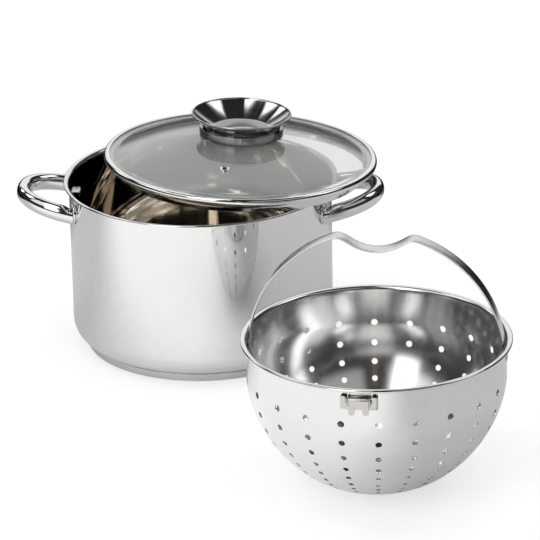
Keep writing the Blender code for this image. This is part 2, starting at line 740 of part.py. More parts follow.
def build_pivots(frame):
    head_seat = WALL_FLAT_OUT + GAP
    inner_seat = BAIL_FACE - BAIL_THICKNESS - GAP
    grip = head_seat - inner_seat
    dome = RIVET_HEAD_HEIGHT
    rivet = [(0.0, dome), (RIVET_HEAD * 0.55, dome * 0.85), (RIVET_HEAD * 0.87, dome * 0.45),
             (RIVET_HEAD, 0.0), (RIVET_RADIUS, 0.0), (RIVET_RADIUS, -grip),
             (RIVET_HEAD, -grip), (RIVET_HEAD * 0.8, -grip - dome * 0.7), (0.0, -grip - dome * 0.8)]
    washer_low = BAIL_FACE + GAP
    for side, sign in (("right", 1.0), ("left", -1.0)):
        out = Vector((sign, 0.0, 0.0))
        mesh = turned_mesh(f"pivot_rivet_{side}", rivet, False, SMALL_SEGMENTS)
        seat = along(out, out * head_seat + Vector((0, 0, PIVOT_Z)))
        add_mesh(f"pivot_rivet_{side}", mesh, SATIN, frame, seat)
        name = f"pivot_washer_{side}"
        ring = ring_mesh(name, RIVET_RADIUS + PIVOT_PLAY, PIVOT_WASHER_RADIUS, PIVOT_WASHER, 0.0)
        seat = along(out, out * washer_low + Vector((0, 0, PIVOT_Z)))
        add_mesh(name, ring, SATIN, frame, seat)


def bail_height(side):
    """Height of the bail's outer face above the pivots, at a distance from the middle."""
    arch = math.sqrt(BAIL_ARCH ** 2 - side ** 2)
    if abs(side) >= BAIL_DIP_RADIUS * 0.97:
        return arch
    dip_floor = BAIL_ARCH - BAIL_DIP_BELOW
    dip = dip_floor + BAIL_DIP_RADIUS - math.sqrt(BAIL_DIP_RADIUS ** 2 - side ** 2)
    low = min(arch, dip)
    high = max(arch, dip)
    return low - BAIL_BLEND * math.log(1.0 + math.exp((low - high) / BAIL_BLEND))


def bail_path():
    """Outer face of the bail from its right end over the arch to its left end."""
    leg_top = math.sqrt(BAIL_ARCH ** 2 - BAIL_FACE ** 2)
    steepest = math.asin(BAIL_FACE / BAIL_ARCH)
    half = []
    for step in range(BAIL_STEPS):
        side = BAIL_ARCH * math.sin(steepest * step / BAIL_STEPS)
        half.append((side, bail_height(side)))
    half += [(BAIL_FACE, leg_top), (BAIL_FACE, -BAIL_WIDTH / 2)]
    return half[:0:-1] + [(-side, height) for side, height in half]


def build_bail(frame):
    """A bent strip with round ends, drilled for the two rivets."""
    outer = bail_path()
    inner = offset(outer, -BAIL_THICKNESS)
    upright = Matrix.Rotation(math.pi / 2, 4, "X")
    strip = extruded("bail_strip", outer + inner[::-1], BAIL_WIDTH)
    bail = add_mesh("bail_strip", strip, SATIN, frame, upright)

    tall = 2 * BAIL_ARCH
    ends = arc((0.0, 0.0), BAIL_WIDTH / 2 + GAP, 180, 360, 10)
    outline = ends + [(BAIL_WIDTH / 2 + GAP, tall), (-BAIL_WIDTH / 2 - GAP, tall)]
    sideways = Matrix.Rotation(math.pi / 2, 4, "Z") @ upright
    trim = add_cutter("bail_ends", extruded("bail_ends", outline, 3 * BAIL_ARCH), frame, sideways)
    boolean(bail, trim, "INTERSECT")
    across = Matrix.Rotation(math.pi / 2, 4, "Y")
    holes = rods("bail_holes", [(across, RIVET_RADIUS + PIVOT_PLAY, 3 * BAIL_ARCH)],
                 SMALL_SEGMENTS)
    boolean(bail, add_cutter("bail_holes", holes, frame), "DIFFERENCE")


def clip_band(name, inner, outer, margin):
    """A ring round the bowl at the clip's height, taller than it by a margin at both ends."""
    top = BOWL_HEIGHT - CLIP_BELOW_RIM + margin
    low = top - CLIP_HEIGHT - 2 * margin
    ring = [(inner, top), (outer, top), (outer, low), (inner, low)]
    return turned_mesh(name, ring, True, BOWL_SEGMENTS, BOWL_HALF_STEP)


def build_clip(frame):
    """A channel welded under the rim, notched for the hook, with two ears for its pin."""
    top = BOWL_HEIGHT - CLIP_BELOW_RIM
    centre = (0.0, -BOWL_RADIUS, top - CLIP_HEIGHT / 2)
    channel = block("clip_bracket", (CLIP_WIDTH, BOWL_RADIUS, CLIP_HEIGHT), centre)
    bracket = add_mesh("clip_bracket", channel, SATIN, frame)
    band = clip_band("clip_band", BOWL_RADIUS + GAP, CLIP_FACE, CLIP_SHEET)
    boolean(bracket, add_cutter("clip_band", band, frame), "INTERSECT")

    margin = 2 * CLIP_SHEET
    inside = block("clip_hollow", (CLIP_WIDTH - margin, BOWL_RADIUS, CLIP_HEIGHT + margin), centre)
    hollow = add_cutter("clip_hollow", inside, frame)
    band = clip_band("clip_hollow_band", BOWL_INNER, CLIP_FACE - CLIP_SHEET, margin)
    boolean(hollow, add_cutter("clip_hollow_band", band, frame), "INTERSECT")
    boolean(bracket, hollow, "DIFFERENCE")

    half = HOOK_GUM + CLIP_SHEET + GAP
    head = half + CLIP_SHEET / 2
    notch_low = CLIP_PIN_Z - KNUCKLE_RADIUS - CLIP_NOTCH_PLAY
    notch = block("clip_notch", (2 * (head + GAP), BOWL_RADIUS, CLIP_HEIGHT),
                  (0.0, -BOWL_RADIUS, notch_low + CLIP_HEIGHT / 2))
    boolean(bracket, add_cutter("clip_notch", notch, frame), "DIFFERENCE")

    ear_out = CLIP_PIN_OUT + KNUCKLE_RADIUS
    ear_in = CLIP_PIN_OUT - KNUCKLE_RADIUS
    for side, sign in (("right", 1.0), ("left", -1.0)):
        middle = sign * (HOOK_GUM + CLIP_SHEET / 2)
        ear = block(f"clip_ear_{side}", (CLIP_SHEET, ear_out - ear_in, CLIP_EAR_HEIGHT),
                    (middle, -CLIP_PIN_OUT, top - CLIP_EAR_HEIGHT / 2 - GAP))
        boolean(bracket, add_cutter(f"clip_ear_{side}", ear, frame), "UNION")
    pin_place = (Matrix.Translation((0, -CLIP_PIN_OUT, CLIP_PIN_Z))
                 @ Matrix.Rotation(math.pi / 2, 4, "Y"))
    hole = rods("clip_pin_hole", [(pin_place, KNUCKLE_BORE, 2 * head)], SMALL_SEGMENTS)
    boolean(bracket, add_cutter("clip_pin_hole", hole, frame), "DIFFERENCE")

    pin = [(0.0, head), (CLIP_PIN_HEAD, head), (CLIP_PIN_HEAD, half), (CLIP_PIN_RADIUS, half),
           (CLIP_PIN_RADIUS, -half), (CLIP_PIN_HEAD, -half), (CLIP_PIN_HEAD, -head), (0.0, -head)]
    mesh = turned_mesh("clip_pin", pin, False, SMALL_SEGMENTS)
    add_mesh("clip_pin", mesh, SATIN, frame, pin_place)


def hook_outline():
    """The hook's flat blade: two round-ended legs with an arch between them."""
    half = HOOK_WIDTH / 2
    leg = HOOK_LEG / 2
    tip = -HOOK_LENGTH + leg
    gap = half - HOOK_LEG
    arch = -HOOK_LENGTH + HOOK_ARCH_RISE - gap
    left_tip = arc((-half + leg, tip), leg, 180, 360)
    opening = arc((0.0, arch), gap, 180, 0)
    right_tip = arc((half - leg, tip), leg, 180, 360)
    return [(-half, 0.0)] + left_tip + opening + right_tip + [(half, 0.0)]


def build_hook(frame):
    """A blade hanging from a rolled knuckle, with its origin on the pin's axis."""
    knuckle_place = Matrix.Rotation(math.pi / 2, 4, "Y")
    upright = (Matrix.Translation((0, HOOK_SHEET / 2 - KNUCKLE_RADIUS, 0))
               @ Matrix.Rotation(math.pi / 2, 4, "X"))
    blade = extruded("clip_hook", hook_outline(), HOOK_SHEET)
    blade.transform(upright)
    hook = add_mesh("clip_hook", blade, SATIN, frame)
    knuckle = rods("hook_knuckle", [(knuckle_place, KNUCKLE_RADIUS, HOOK_WIDTH)], SMALL_SEGMENTS)
    boolean(hook, add_cutter("hook_knuckle", knuckle, frame), "UNION")
    bore = rods("hook_bore", [(knuckle_place, KNUCKLE_BORE, 2 * HOOK_WIDTH)], SMALL_SEGMENTS)
    boolean(hook, add_cutter("hook_bore", bore, frame), "DIFFERENCE")


def main():
    pot = new_frame("pot_frame", Matrix.Rotation(POT_YAW, 4, "Z"))
    build_pot(pot)
    build_handles(pot)
    build_lugs(pot)

    lid = new_frame("lid_frame", lid_matrix())
    build_glass(lid)
    build_lid_band(lid)
    build_vent(lid)
    build_knob(lid)

    strainer_place = (Matrix.Translation((STRAINER_X, STRAINER_Y, 0.0))
                      @ Matrix.Rotation(STRAINER_YAW, 4, "Z"))
    strainer = new_frame("strainer_frame", strainer_place)
    build_bowl(strainer)
    build_pivots(strainer)
    build_clip(strainer)

    bail_axis = new_frame("bail_axis", Matrix.Translation((0, 0, PIVOT_Z)), strainer)
    build_bail(bail_axis)
    hook_axis = new_frame("hook_axis", Matrix.Translation((0, -CLIP_PIN_OUT, CLIP_PIN_Z)), strainer)
    build_hook(hook_axis)


main()
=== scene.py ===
"""Looks of a cooking pot with a glass lid and a lift-out strainer, in metres, +Z up.

Every visible piece of steel, glass and rubber is modelled here as a fine mesh in the place of
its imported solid, with procedural finishes, in a plain white studio.
"""

from __future__ import annotations

import logging
import math
from bisect import bisect_left, bisect_right
from dataclasses import dataclass, field
from enum import Enum
from typing import Sequence, Union

import bmesh
import bpy
from mathutils import Matrix, Vector


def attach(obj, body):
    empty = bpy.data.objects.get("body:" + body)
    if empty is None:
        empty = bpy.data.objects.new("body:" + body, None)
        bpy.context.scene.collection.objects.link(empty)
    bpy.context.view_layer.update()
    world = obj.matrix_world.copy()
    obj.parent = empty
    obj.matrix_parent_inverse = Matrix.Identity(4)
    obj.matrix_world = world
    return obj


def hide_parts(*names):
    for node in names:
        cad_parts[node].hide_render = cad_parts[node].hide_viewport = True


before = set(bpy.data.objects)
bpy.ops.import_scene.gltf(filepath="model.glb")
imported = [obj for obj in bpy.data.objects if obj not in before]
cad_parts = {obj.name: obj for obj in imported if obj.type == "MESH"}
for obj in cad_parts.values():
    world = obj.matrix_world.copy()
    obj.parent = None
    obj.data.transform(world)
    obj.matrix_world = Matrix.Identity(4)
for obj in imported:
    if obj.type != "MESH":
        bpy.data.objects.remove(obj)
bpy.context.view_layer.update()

LOG = logging.getLogger("cooking_pot")
Point = tuple[float, float]
Triple = tuple[float, float, float]
Profile = list[Point]
Mesh = bpy.types.Mesh
Material = bpy.types.Material
Socket = bpy.types.NodeSocket
Value = Union[Socket, float, tuple]

UV_NAME = "surface"
INSIDE = "inside"
ROUND_STEPS = 192                # round the pot, the lid and the knob
SMALL_STEPS = 64                 # round rivets, washers and screws
GAP = 0.0003                     # between faces that seat on each other
NOTHING = 1e-7                   # a radius or length taken as none
WELD = 0.00003                   # points of the bowl nearer than this become one
BORDER_PLAY = 0.0002             # how far from its level a border's point may lie
TRUE_TO_CURVE = 0.85             # a face this square to the bowl's curve takes its normal
CREASE = 40.0                    # degrees from which an edge is sharp
PLATE_CREASE = 35.0              # the same on pieces cut from flat sheet
ACROSS = Matrix.Rotation(math.pi / 2, 4, "Y")    # lays a piece made round Z along X
UPRIGHT = Matrix.Rotation(math.pi / 2, 4, "X")   # stands a flat piece up


class Body(Enum):
    """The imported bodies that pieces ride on."""

    POT = "pot"
    LID = "lid"
    STRAINER = "strainer"
    BAIL = "bail"
    HOOK = "hook"


class Slot(Enum):
    """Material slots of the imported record."""

    POLISHED = "polished_steel"
    SATIN = "satin_steel"
    GLASS = "clear_glass"
    SILICONE = "silicone"


# Profiles, as (radius, height) points that run down a piece's outer side

def arc(centre: Point, radius: float, start: float, end: float, steps: int) -> Profile:
    """Points on an arc.

    Args:
        centre: the arc's centre, as radius and height.
        radius: its own radius.
        start: first angle in degrees.
        end: last angle in degrees.
        steps: how many stretches it is made of.

    Returns:
        Both ends and the points between.
    """
    angles = [math.radians(start + (end - start) * step / steps) for step in range(steps + 1)]
    return [(centre[0] + radius * math.cos(a), centre[1] + radius * math.sin(a)) for a in angles]


def offset(points: Sequence[Point], distance: float) -> Profile:
    """Move a profile to its right-hand side, with mitred corners.

    Args:
        points: the profile.
        distance: how far it moves.

    Returns:
        The moved profile.
    """
    normals = []
    for start, end in zip(points, points[1:]):
        run = Vector((end[0] - start[0], end[1] - start[1])).normalized()
        normals.append(Vector((run.y, -run.x)))
    moved = []
    for index, point in enumerate(points):
        before = normals[max(index - 1, 0)]
        after = normals[min(index, len(normals) - 1)]
        mitre = (before + after).normalized()
        moved.append(tuple(Vector(point) + mitre * (distance / mitre.dot(after))))
    return moved


def rounded(points: Sequence[Point], radius: float, closed: bool = True,
            steps: int = 4, least_turn: float = 25.0) -> Profile:
    """Round the corners of an outline.

    Args:
        points: the outline's corners.
        radius: the fillet, made smaller where a side is short.
        closed: whether the last point joins the first.
        steps: stretches in each fillet.
        least_turn: corners that turn by fewer degrees stay as they are.

    Returns:
        The outline with arcs for its corners.
    """
    count = len(points)
    result: Profile = []
    for index, here in enumerate(points):
        if not closed and index in (0, count - 1):
            result.append(tuple(here))
            continue
        corner = Vector(here)
        to_last = Vector(points[index - 1]) - corner
        to_next = Vector(points[(index + 1) % count]) - corner
        turn = math.pi - to_last.angle(to_next, 0.0)
        if math.degrees(turn) < least_turn:
            result.append(tuple(here))
            continue
        reach = min(radius * math.tan(turn / 2), 0.45 * min(to_last.length, to_next.length))
        start = corner + to_last.normalized() * reach
        end = corner + to_next.normalized() * reach
        for step in range(steps + 1):
            share = step / steps
            low = start.lerp(corner, share)
            high = corner.lerp(end, share)
            result.append(tuple(low.lerp(high, share)))
    return result


def sheet(points: Sequence[Point], thickness: float, edge: float) -> Profile:
    """Closed outline of a sheet whose outer face runs through the points.

    Args:
        points: the outer face.
        thickness: of the sheet, on the profile's right-hand side.
        edge: rounding of the sheet's cut edge at the first point.

    Returns:
        The outline from the axis or the inner edge over the cut edge and down the outer face.
    """
    inner = offset(points, thickness)[::-1]
    cut = rounded([inner[-2], inner[-1], points[0], points[1]], edge, closed=False)
    return inner[:-1] + cut[1:-1] + list(points[1:])


# Meshes

def linked(name: str, data: bpy.types.ID) -> bpy.types.Object:
    """A new object of some data, in the scene."""
    item = bpy.data.objects.new(name, data)
    bpy.context.scene.collection.objects.link(item)
    return item


def finished(mesh: bmesh.types.BMesh, name: str) -> Mesh:
    """Turn a bmesh into a smooth shaded mesh and free it.

    Args:
        mesh: freed at the end.
        name: of the result.

    Returns:
        The mesh.
    """
    data = bpy.data.meshes.new(name)
    mesh.to_mesh(data)
    mesh.free()
    data.shade_smooth()
    return data


def creased(mesh: Mesh, degrees: float) -> Mesh:
    """A mesh whose edges are sharp where they turn by more than some degrees."""
    mesh.set_sharp_from_angle(angle=math.radians(degrees))
    return mesh


def distances(path: list[Vector]) -> list[float]:
    """How far along a path each of its points lies.

    Args:
        path: the points.

    Returns:
        The distances, the first of them 0.
    """
    found = [0.0]
    for start, end in zip(path, path[1:]):
        found.append(found[-1] + (end - start).length)
    return found


def heading(path: list[Vector], index: int) -> Vector:
    """Direction of a path at one of its points."""
    return (path[min(index + 1, len(path) - 1)] - path[max(index - 1, 0)]).normalized()


def turned(name: str, profile: Sequence[Point], closed: bool = False,
           steps: int = ROUND_STEPS) -> Mesh:
    """Turn a profile round Z, with exact shading normals and an unrolled map in metres.

    Args:
        name: of the mesh.
        profile: (radius, height) points down the outer side.
        closed: whether the last point joins the first.
        steps: sides of each ring.

    Returns:
        A closed mesh. Its map's U runs round the piece and V along the profile.
    """
    shape = bmesh.new()
    uv = shape.loops.layers.uv.new(UV_NAME)
    widest = max(radius for radius, _ in profile)
    angles = [2 * math.pi * step / steps for step in range(steps)]
    rings = []
    for radius, height in profile:
        if radius < NOTHING:
            rings.append([shape.verts.new((0.0, 0.0, height))])
        else:
            rings.append([shape.verts.new((radius * math.cos(a), radius * math.sin(a), height))
                          for a in angles])
    travelled = [0.0]
    count = len(profile)
    for index in range(count):
        here = Vector(profile[index])
        travelled.append(travelled[-1] + (Vector(profile[(index + 1) % count]) - here).length)
    last = count if closed else count - 1
    for index in range(last):
        upper = rings[index]
        lower = rings[(index + 1) % count]
        if len(upper) == 1 and len(lower) == 1:
            continue
        for step in range(steps):
            corners = []
            for ring, turn, side in ((upper, step, 0), (lower, step, 1), (lower, step + 1, 1),
                                     (upper, step + 1, 0)):
                corner = (ring[turn % len(ring)], step + 0.5 if len(ring) == 1 else turn, side)
                if corner not in corners:
                    corners.append(corner)
            face = shape.faces.new([corner[0] for corner in corners])
            for loop, (_, turn, side) in zip(face.loops, corners):
                loop[uv].uv = (2 * math.pi * widest * turn / steps, -travelled[index + side])
    shape.verts.index_update()
    normals = ring_normals(profile, closed, rings, angles)
    mesh = finished(shape, name)
    mesh.normals_split_custom_set_from_vertices(normals)
    return mesh


def ring_normals(profile: Sequence[Point], closed: bool,
                 rings: list[list[bmesh.types.BMVert]], angles: list[float]) -> list[tuple]:
    """Normals of a turned surface, each stretch of the profile weighing by its length.

    Args:
        profile: (radius, height) points.
        closed: whether the last point joins the first.
        rings: the vertices that each point became.
        angles: of the vertices in a ring.

    Returns:
        One normal for each vertex, in the order of their making.
    """
    count = len(profile)
    runs = [Vector(profile[(i + 1) % count]) - Vector(profile[i]) for i in range(count)]
    normals = []
    for index, ring in enumerate(rings):
        before = runs[index - 1] if closed or index > 0 else Vector((0.0, 0.0))
        after = runs[index] if closed or index < count - 1 else Vector((0.0, 0.0))
        run = before + after
        flat = Vector((-run.y, run.x))
        if flat.length < NOTHING:
            flat = Vector((-after.y, after.x))
        flat.normalize()
        if len(ring) == 1:
            normals.append((0.0, 0.0, math.copysign(1.0, flat.y)))
        else:
            normals += [(flat.x * math.cos(a), flat.x * math.sin(a), flat.y) for a in angles]
    return normals


def lofted(name: str, sections: list[list[Vector]], lengths: Sequence[float]) -> Mesh:
    """Join sections of equal point count into a closed bar, with an unrolled map in metres.

    Args:
        name: of the mesh.
        sections: closed rings of points, one after another.
        lengths: how far along the bar each section lies.

    Returns:
        The bar. Its map's U runs along the bar and V round it.
    """
    shape = bmesh.new()
    uv = shape.loops.layers.uv.new(UV_NAME)
    rings = [[shape.verts.new(point) for point in section] for section in sections]
    sides = len(sections[0])
    middle = sections[len(sections) // 2]
    around = [0.0]
    for side in range(sides):
        around.append(around[-1] + (middle[(side + 1) % sides] - middle[side]).length)
    for index in range(len(rings) - 1):
        for side in range(sides):
            after = (side + 1) % sides
            face = shape.faces.new((rings[index][side], rings[index][after],
                                    rings[index + 1][after], rings[index + 1][side]))
            spots = ((index, side), (index, side + 1), (index + 1, side + 1), (index + 1, side))
            for loop, (along, turn) in zip(face.loops, spots):
                loop[uv].uv = (lengths[along], around[turn])
    shape.faces.new(rings[0][::-1])
    shape.faces.new(rings[-1])
    bmesh.ops.recalc_face_normals(shape, faces=shape.faces)
    mesh = finished(shape, name)
    return creased(mesh, CREASE)


def plate(name: str, outline: Sequence[Point], thickness: float, edge: float) -> Mesh:
    """A flat outline given a thickness and softened edges, centred on its plane.

    Args:
        name: of the mesh.
        outline: (x, y) points, anticlockwise.
        thickness: along Z.
        edge: rounding along both faces' outlines.

    Returns:
        A closed mesh with a map that repeats its own x and y.
    """
    shape = bmesh.new()
    verts = [shape.verts.new((x, y, -thickness / 2)) for x, y in outline]
    base = shape.faces.new(verts)
    grown = bmesh.ops.extrude_face_region(shape, geom=[base])
    top = [item for item in grown["geom"] if isinstance(item, bmesh.types.BMVert)]
    bmesh.ops.translate(shape, verts=top, vec=(0.0, 0.0, thickness))
    bmesh.ops.recalc_face_normals(shape, faces=shape.faces)
    rims = [e for e in shape.edges if abs(e.verts[0].co.z - e.verts[1].co.z) < NOTHING]
    bmesh.ops.bevel(shape, geom=rims, offset=edge, segments=3, profile=0.5, affect="EDGES",
                    clamp_overlap=True)
    big = [face for face in shape.faces if len(face.verts) > 4]
    bmesh.ops.triangulate(shape, faces=big)
    flat_map(shape)
    mesh = finished(shape, name)
    return creased(mesh, PLATE_CREASE)


def flat_map(shape: bmesh.types.BMesh) -> None:
    """Give a mesh a map of its own x and y, in metres, with z added along both.

    Args:
        shape: what gets the map.
    """
    uv = shape.loops.layers.uv.get(UV_NAME) or shape.loops.layers.uv.new(UV_NAME)
    for face in shape.faces:
        for loop in face.loops:
            x, y, z = loop.vert.co
            loop[uv].uv = (x + 0.3 * z, y + 0.7 * z)


def map_cut_faces(mesh: Mesh) -> None:
    """Give the faces that a cut left without a map one of their own x, y and z.

    Args:
        mesh: fresh from a cut.
    """
    layer = mesh.uv_layers.get(UV_NAME) or mesh.uv_layers.new(name=UV_NAME)
    for face in mesh.polygons:
        if any(layer.data[loop].uv.length > NOTHING for loop in face.loop_indices):
            continue
        for loop in face.loop_indices:
            x, y, z = mesh.vertices[mesh.loops[loop].vertex_index].co
            layer.data[loop].uv = (x + 0.3 * z + 1.0, y + 0.7 * z + 1.0)


def mark_inside(mesh: Mesh, reach: float) -> None:
    """Store 1 on the points of a vessel's inner face, and 0 on the others.

    Args:
        mesh: the vessel, round Z.
        reach: radius within which a face that looks up belongs to the inside.
    """
    mark = mesh.attributes.new(INSIDE, "FLOAT", "POINT")
    for vertex in mesh.vertices:
        around = math.hypot(vertex.co.x, vertex.co.y)
        outward = vertex.normal.x * vertex.co.x + vertex.normal.y * vertex.co.y
        facing_in = outward < -0.3 * around or (vertex.normal.z > 0.6 and around < reach)
        mark.data[vertex.index].value = 1.0 if facing_in else 0.0


def carved(mesh: Mesh, tool: Mesh, operation: str) -> Mesh:
    """Cut or join one mesh by another.

    Args:
        mesh: what is changed.
        tool: the other mesh, which is removed after it.
        operation: DIFFERENCE, INTERSECT or UNION.

    Returns:
        The new mesh, under the old one's name.
    """
    name = mesh.name
    holders = [linked("holder", data) for data in (mesh, tool)]
    modifier = holders[0].modifiers.new("carve", "BOOLEAN")
    modifier.object = holders[1]
    modifier.operation = operation
    modifier.solver = "EXACT"
    result = plain_mesh(holders[0])
    for holder in holders:
        data = holder.data
        bpy.data.objects.remove(holder, do_unlink=True)
        bpy.data.meshes.remove(data)
    result.name = name
    map_cut_faces(result)
    return result


def plain_mesh(item: bpy.types.Object) -> Mesh:
    """The evaluated mesh of an object, with all its modifiers applied."""
    graph = bpy.context.evaluated_depsgraph_get()
    return bpy.data.meshes.new_from_object(item.evaluated_get(graph))


def rod(radius: float, length: float, place: Matrix, steps: int = SMALL_STEPS) -> Mesh:
    """A cutting bar, centred on its place and lying along its Z.

    Args:
        radius: of the bar.
        length: of the bar.
        place: of its middle.
        steps: how many sides it has.

    Returns:
        The bar.
    """
    shape = bmesh.new()
    bmesh.ops.create_cone(shape, cap_ends=True, segments=steps, radius1=radius,
                          radius2=radius, depth=length, matrix=place)
    return finished(shape, "rod")


def along(direction: Sequence[float], point: Sequence[float] = (0.0, 0.0, 0.0)) -> Matrix:
    """Place a piece that was made round Z so that its Z lies along a direction."""
    turn = Vector((0.0, 0.0, 1.0)).rotation_difference(Vector(direction))
    return Matrix.Translation(point) @ turn.to_matrix().to_4x4()


def dress(node: str, mesh: Mesh, place: Matrix, material: Material, body: Body,
          slot: Slot) -> None:
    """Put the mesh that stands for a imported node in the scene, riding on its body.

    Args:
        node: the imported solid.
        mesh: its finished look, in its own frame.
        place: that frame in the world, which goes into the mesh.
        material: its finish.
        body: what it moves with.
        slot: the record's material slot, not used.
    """
    mesh.transform(place)
    mesh.name = f"{node}_dressed"
    mesh.materials.clear()
    mesh.materials.append(material)
    piece = linked(mesh.name, mesh)
    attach(piece, body.value)
    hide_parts(node)
    LOG.info("%s: %d faces on body %s", mesh.name, len(mesh.polygons), body.value)


# Node trees

class Nodes:
    """Adds nodes to one tree and links them."""

    def __init__(self, tree: bpy.types.NodeTree) -> None:
        """Keep the tree."""
        self.tree = tree

    def add(self, kind: str, settings: dict | None = None,
            inputs: dict | None = None) -> bpy.types.Node:
        """Add a node.

        Args:
            kind: its type name.
            settings: properties to set.
            inputs: values or sockets by input name or number.

        Returns:
            The node.
        """
        node = self.tree.nodes.new(kind)
        for key, value in (settings or {}).items():
            setattr(node, key, value)
        self.wire(node, inputs or {})
        return node

    def wire(self, node: bpy.types.Node, inputs: dict) -> None:
        """Set a node's inputs, by their names or numbers."""
        for key, value in inputs.items():
            self.feed(node.inputs[key], value)

    def feed(self, socket: Socket, value: Value) -> None:
        """Link a socket to an input, or set the input's own value.

        Args:
            socket: the input.
            value: what it gets.
        """
        if isinstance(value, Socket):
            self.tree.links.new(value, socket)
        else:
            socket.default_value = value

    def math(self, operation: str, first: Value, second: Value = 0.0,
             third: Value = 0.0) -> Socket:
        """A Math node's result."""
        return self.add("ShaderNodeMath", {"operation": operation},
                        {0: first, 1: second, 2: third}).outputs[0]

    def ramp(self, value: Value, low: float, high: float, start: Value, end: Value) -> Socket:
        """Map a range of a value smoothly onto another range.

        Args:
            value: what is mapped.
            low: where its range starts.
            high: where it ends.
            start: result at its start.
            end: result at its end.

        Returns:
            The result.
        """
        node = self.add("ShaderNodeMapRange", {"interpolation_type": "SMOOTHSTEP"},
                        {"Value": value, "From Min": low, "From Max": high,
                         "To Min": start, "To Max": end})
        return node.outputs["Result"]

    def position(self) -> Socket:
        """A point's place in its object's own frame."""
        return self.add("ShaderNodeTexCoord").outputs["Object"]

    def vector(self, x: Value, y: Value, z: Value) -> Socket:
        """A vector of three values."""
        return self.add("ShaderNodeCombineXYZ", None, {0: x, 1: y, 2: z}).outputs[0]

    def scaled(self, vector: Value, scale: Triple) -> Socket:
        """A vector times another, side by side."""
        node = self.add("ShaderNodeVectorMath", {"operation": "MULTIPLY"}, {0: vector, 1: scale})
        return node.outputs[0]

    def noise(self, vector: Value, scale: float, detail: float = 2.0,
              rough: float = 0.5) -> Socket:
        """A noise value about one half."""
        node = self.add("ShaderNodeTexNoise", None, {"Vector": vector, "Scale": scale,
                                                     "Detail": detail, "Roughness": rough})
        return node.outputs[0]

    def blend(self, share: Value, first: Value, second: Value) -> Socket:
        """A colour between two."""
        node = self.add("ShaderNodeMix", {"data_type": "RGBA"}, {0: share, 6: first, 7: second})
        return node.outputs[2]

    def bump(self, height: Value, distance: float, normal: Value | None = None) -> Socket:
        """A bumped normal.

        Args:
            height: of the relief.
            distance: that a height of 1 stands for.
            normal: another bump under it.

        Returns:
            The normal.
        """
        inputs = {"Height": height, "Distance": distance}
        if normal is not None:
            inputs["Normal"] = normal
        return self.add("ShaderNodeBump", None, inputs).outputs[0]


def new_material(name: str) -> tuple[Material, Nodes, bpy.types.Node]:
    """A material with its tree and its surface shader.

    Args:
        name: of the material.

    Returns:
        The material, its nodes and its shader.
    """
    material = bpy.data.materials.new(name)
    material.use_nodes = True
    shader = material.node_tree.nodes["Principled BSDF"]
    return material, Nodes(material.node_tree), shader


def emptied(owner: Material | bpy.types.World) -> Nodes:
    """The node tree of a material or a world, with nothing in it."""
    owner.use_nodes = True
    owner.node_tree.nodes.clear()
    return Nodes(owner.node_tree)


# Finishes

@dataclass(frozen=True)
class PolishedSteel:
    """Mirror-polished stainless sheet with faint smudges, hairlines and drawing waves.

    The points marked as a vessel's inside have their own tone and polish.
    """

    name: str = "polished_steel_finish"
    colour: Triple = (0.80, 0.795, 0.785)
    shade: Triple = (0.745, 0.745, 0.74)
    roughness: float = 0.035
    smudge_roughness: float = 0.085
    inside_colour: Triple = (0.79, 0.785, 0.775)
    inside_roughness: float = 0.11
    smudge_scale: float = 14.0
    hairline_pitch: float = 1400.0
    hairline_depth: float = 0.0000012
    wave_scale: float = 9.0
    wave_depth: float = 0.00009

    def make(self) -> Material:
        """Build the material.

        Returns:
            The material.
        """
        material, nodes, shader = new_material(self.name)
        place = nodes.position()
        smudge = nodes.ramp(nodes.noise(place, self.smudge_scale, 5.0, 0.62), 0.42, 0.72, 0.0, 1.0)
        fine = nodes.scaled(place, (30.0, 30.0, self.hairline_pitch))
        hairline = nodes.noise(fine, 1.0, 3.0, 0.6)
        roughness = nodes.math("MULTIPLY_ADD", smudge, self.smudge_roughness - self.roughness,
                               self.roughness)
        roughness = nodes.math("MULTIPLY_ADD", hairline, 0.012, roughness)
        mark = nodes.add("ShaderNodeAttribute", {"attribute_name": INSIDE}).outputs["Fac"]
        roughness = nodes.math("MULTIPLY_ADD", mark, self.inside_roughness, roughness)
        patches = nodes.ramp(nodes.noise(place, 4.0, 3.0), 0.3, 0.75, 0.0, 1.0)
        colour = nodes.blend(patches, (*self.colour, 1.0), (*self.shade, 1.0))
        waves = nodes.bump(nodes.noise(place, self.wave_scale, 1.0), self.wave_depth)
        normal = nodes.bump(hairline, self.hairline_depth, waves)
        colour = nodes.blend(mark, colour, (*self.inside_colour, 1.0))
        nodes.wire(shader, {"Base Color": colour, "Roughness": roughness, "Normal": normal,
                            "Metallic": 1.0})
        return material


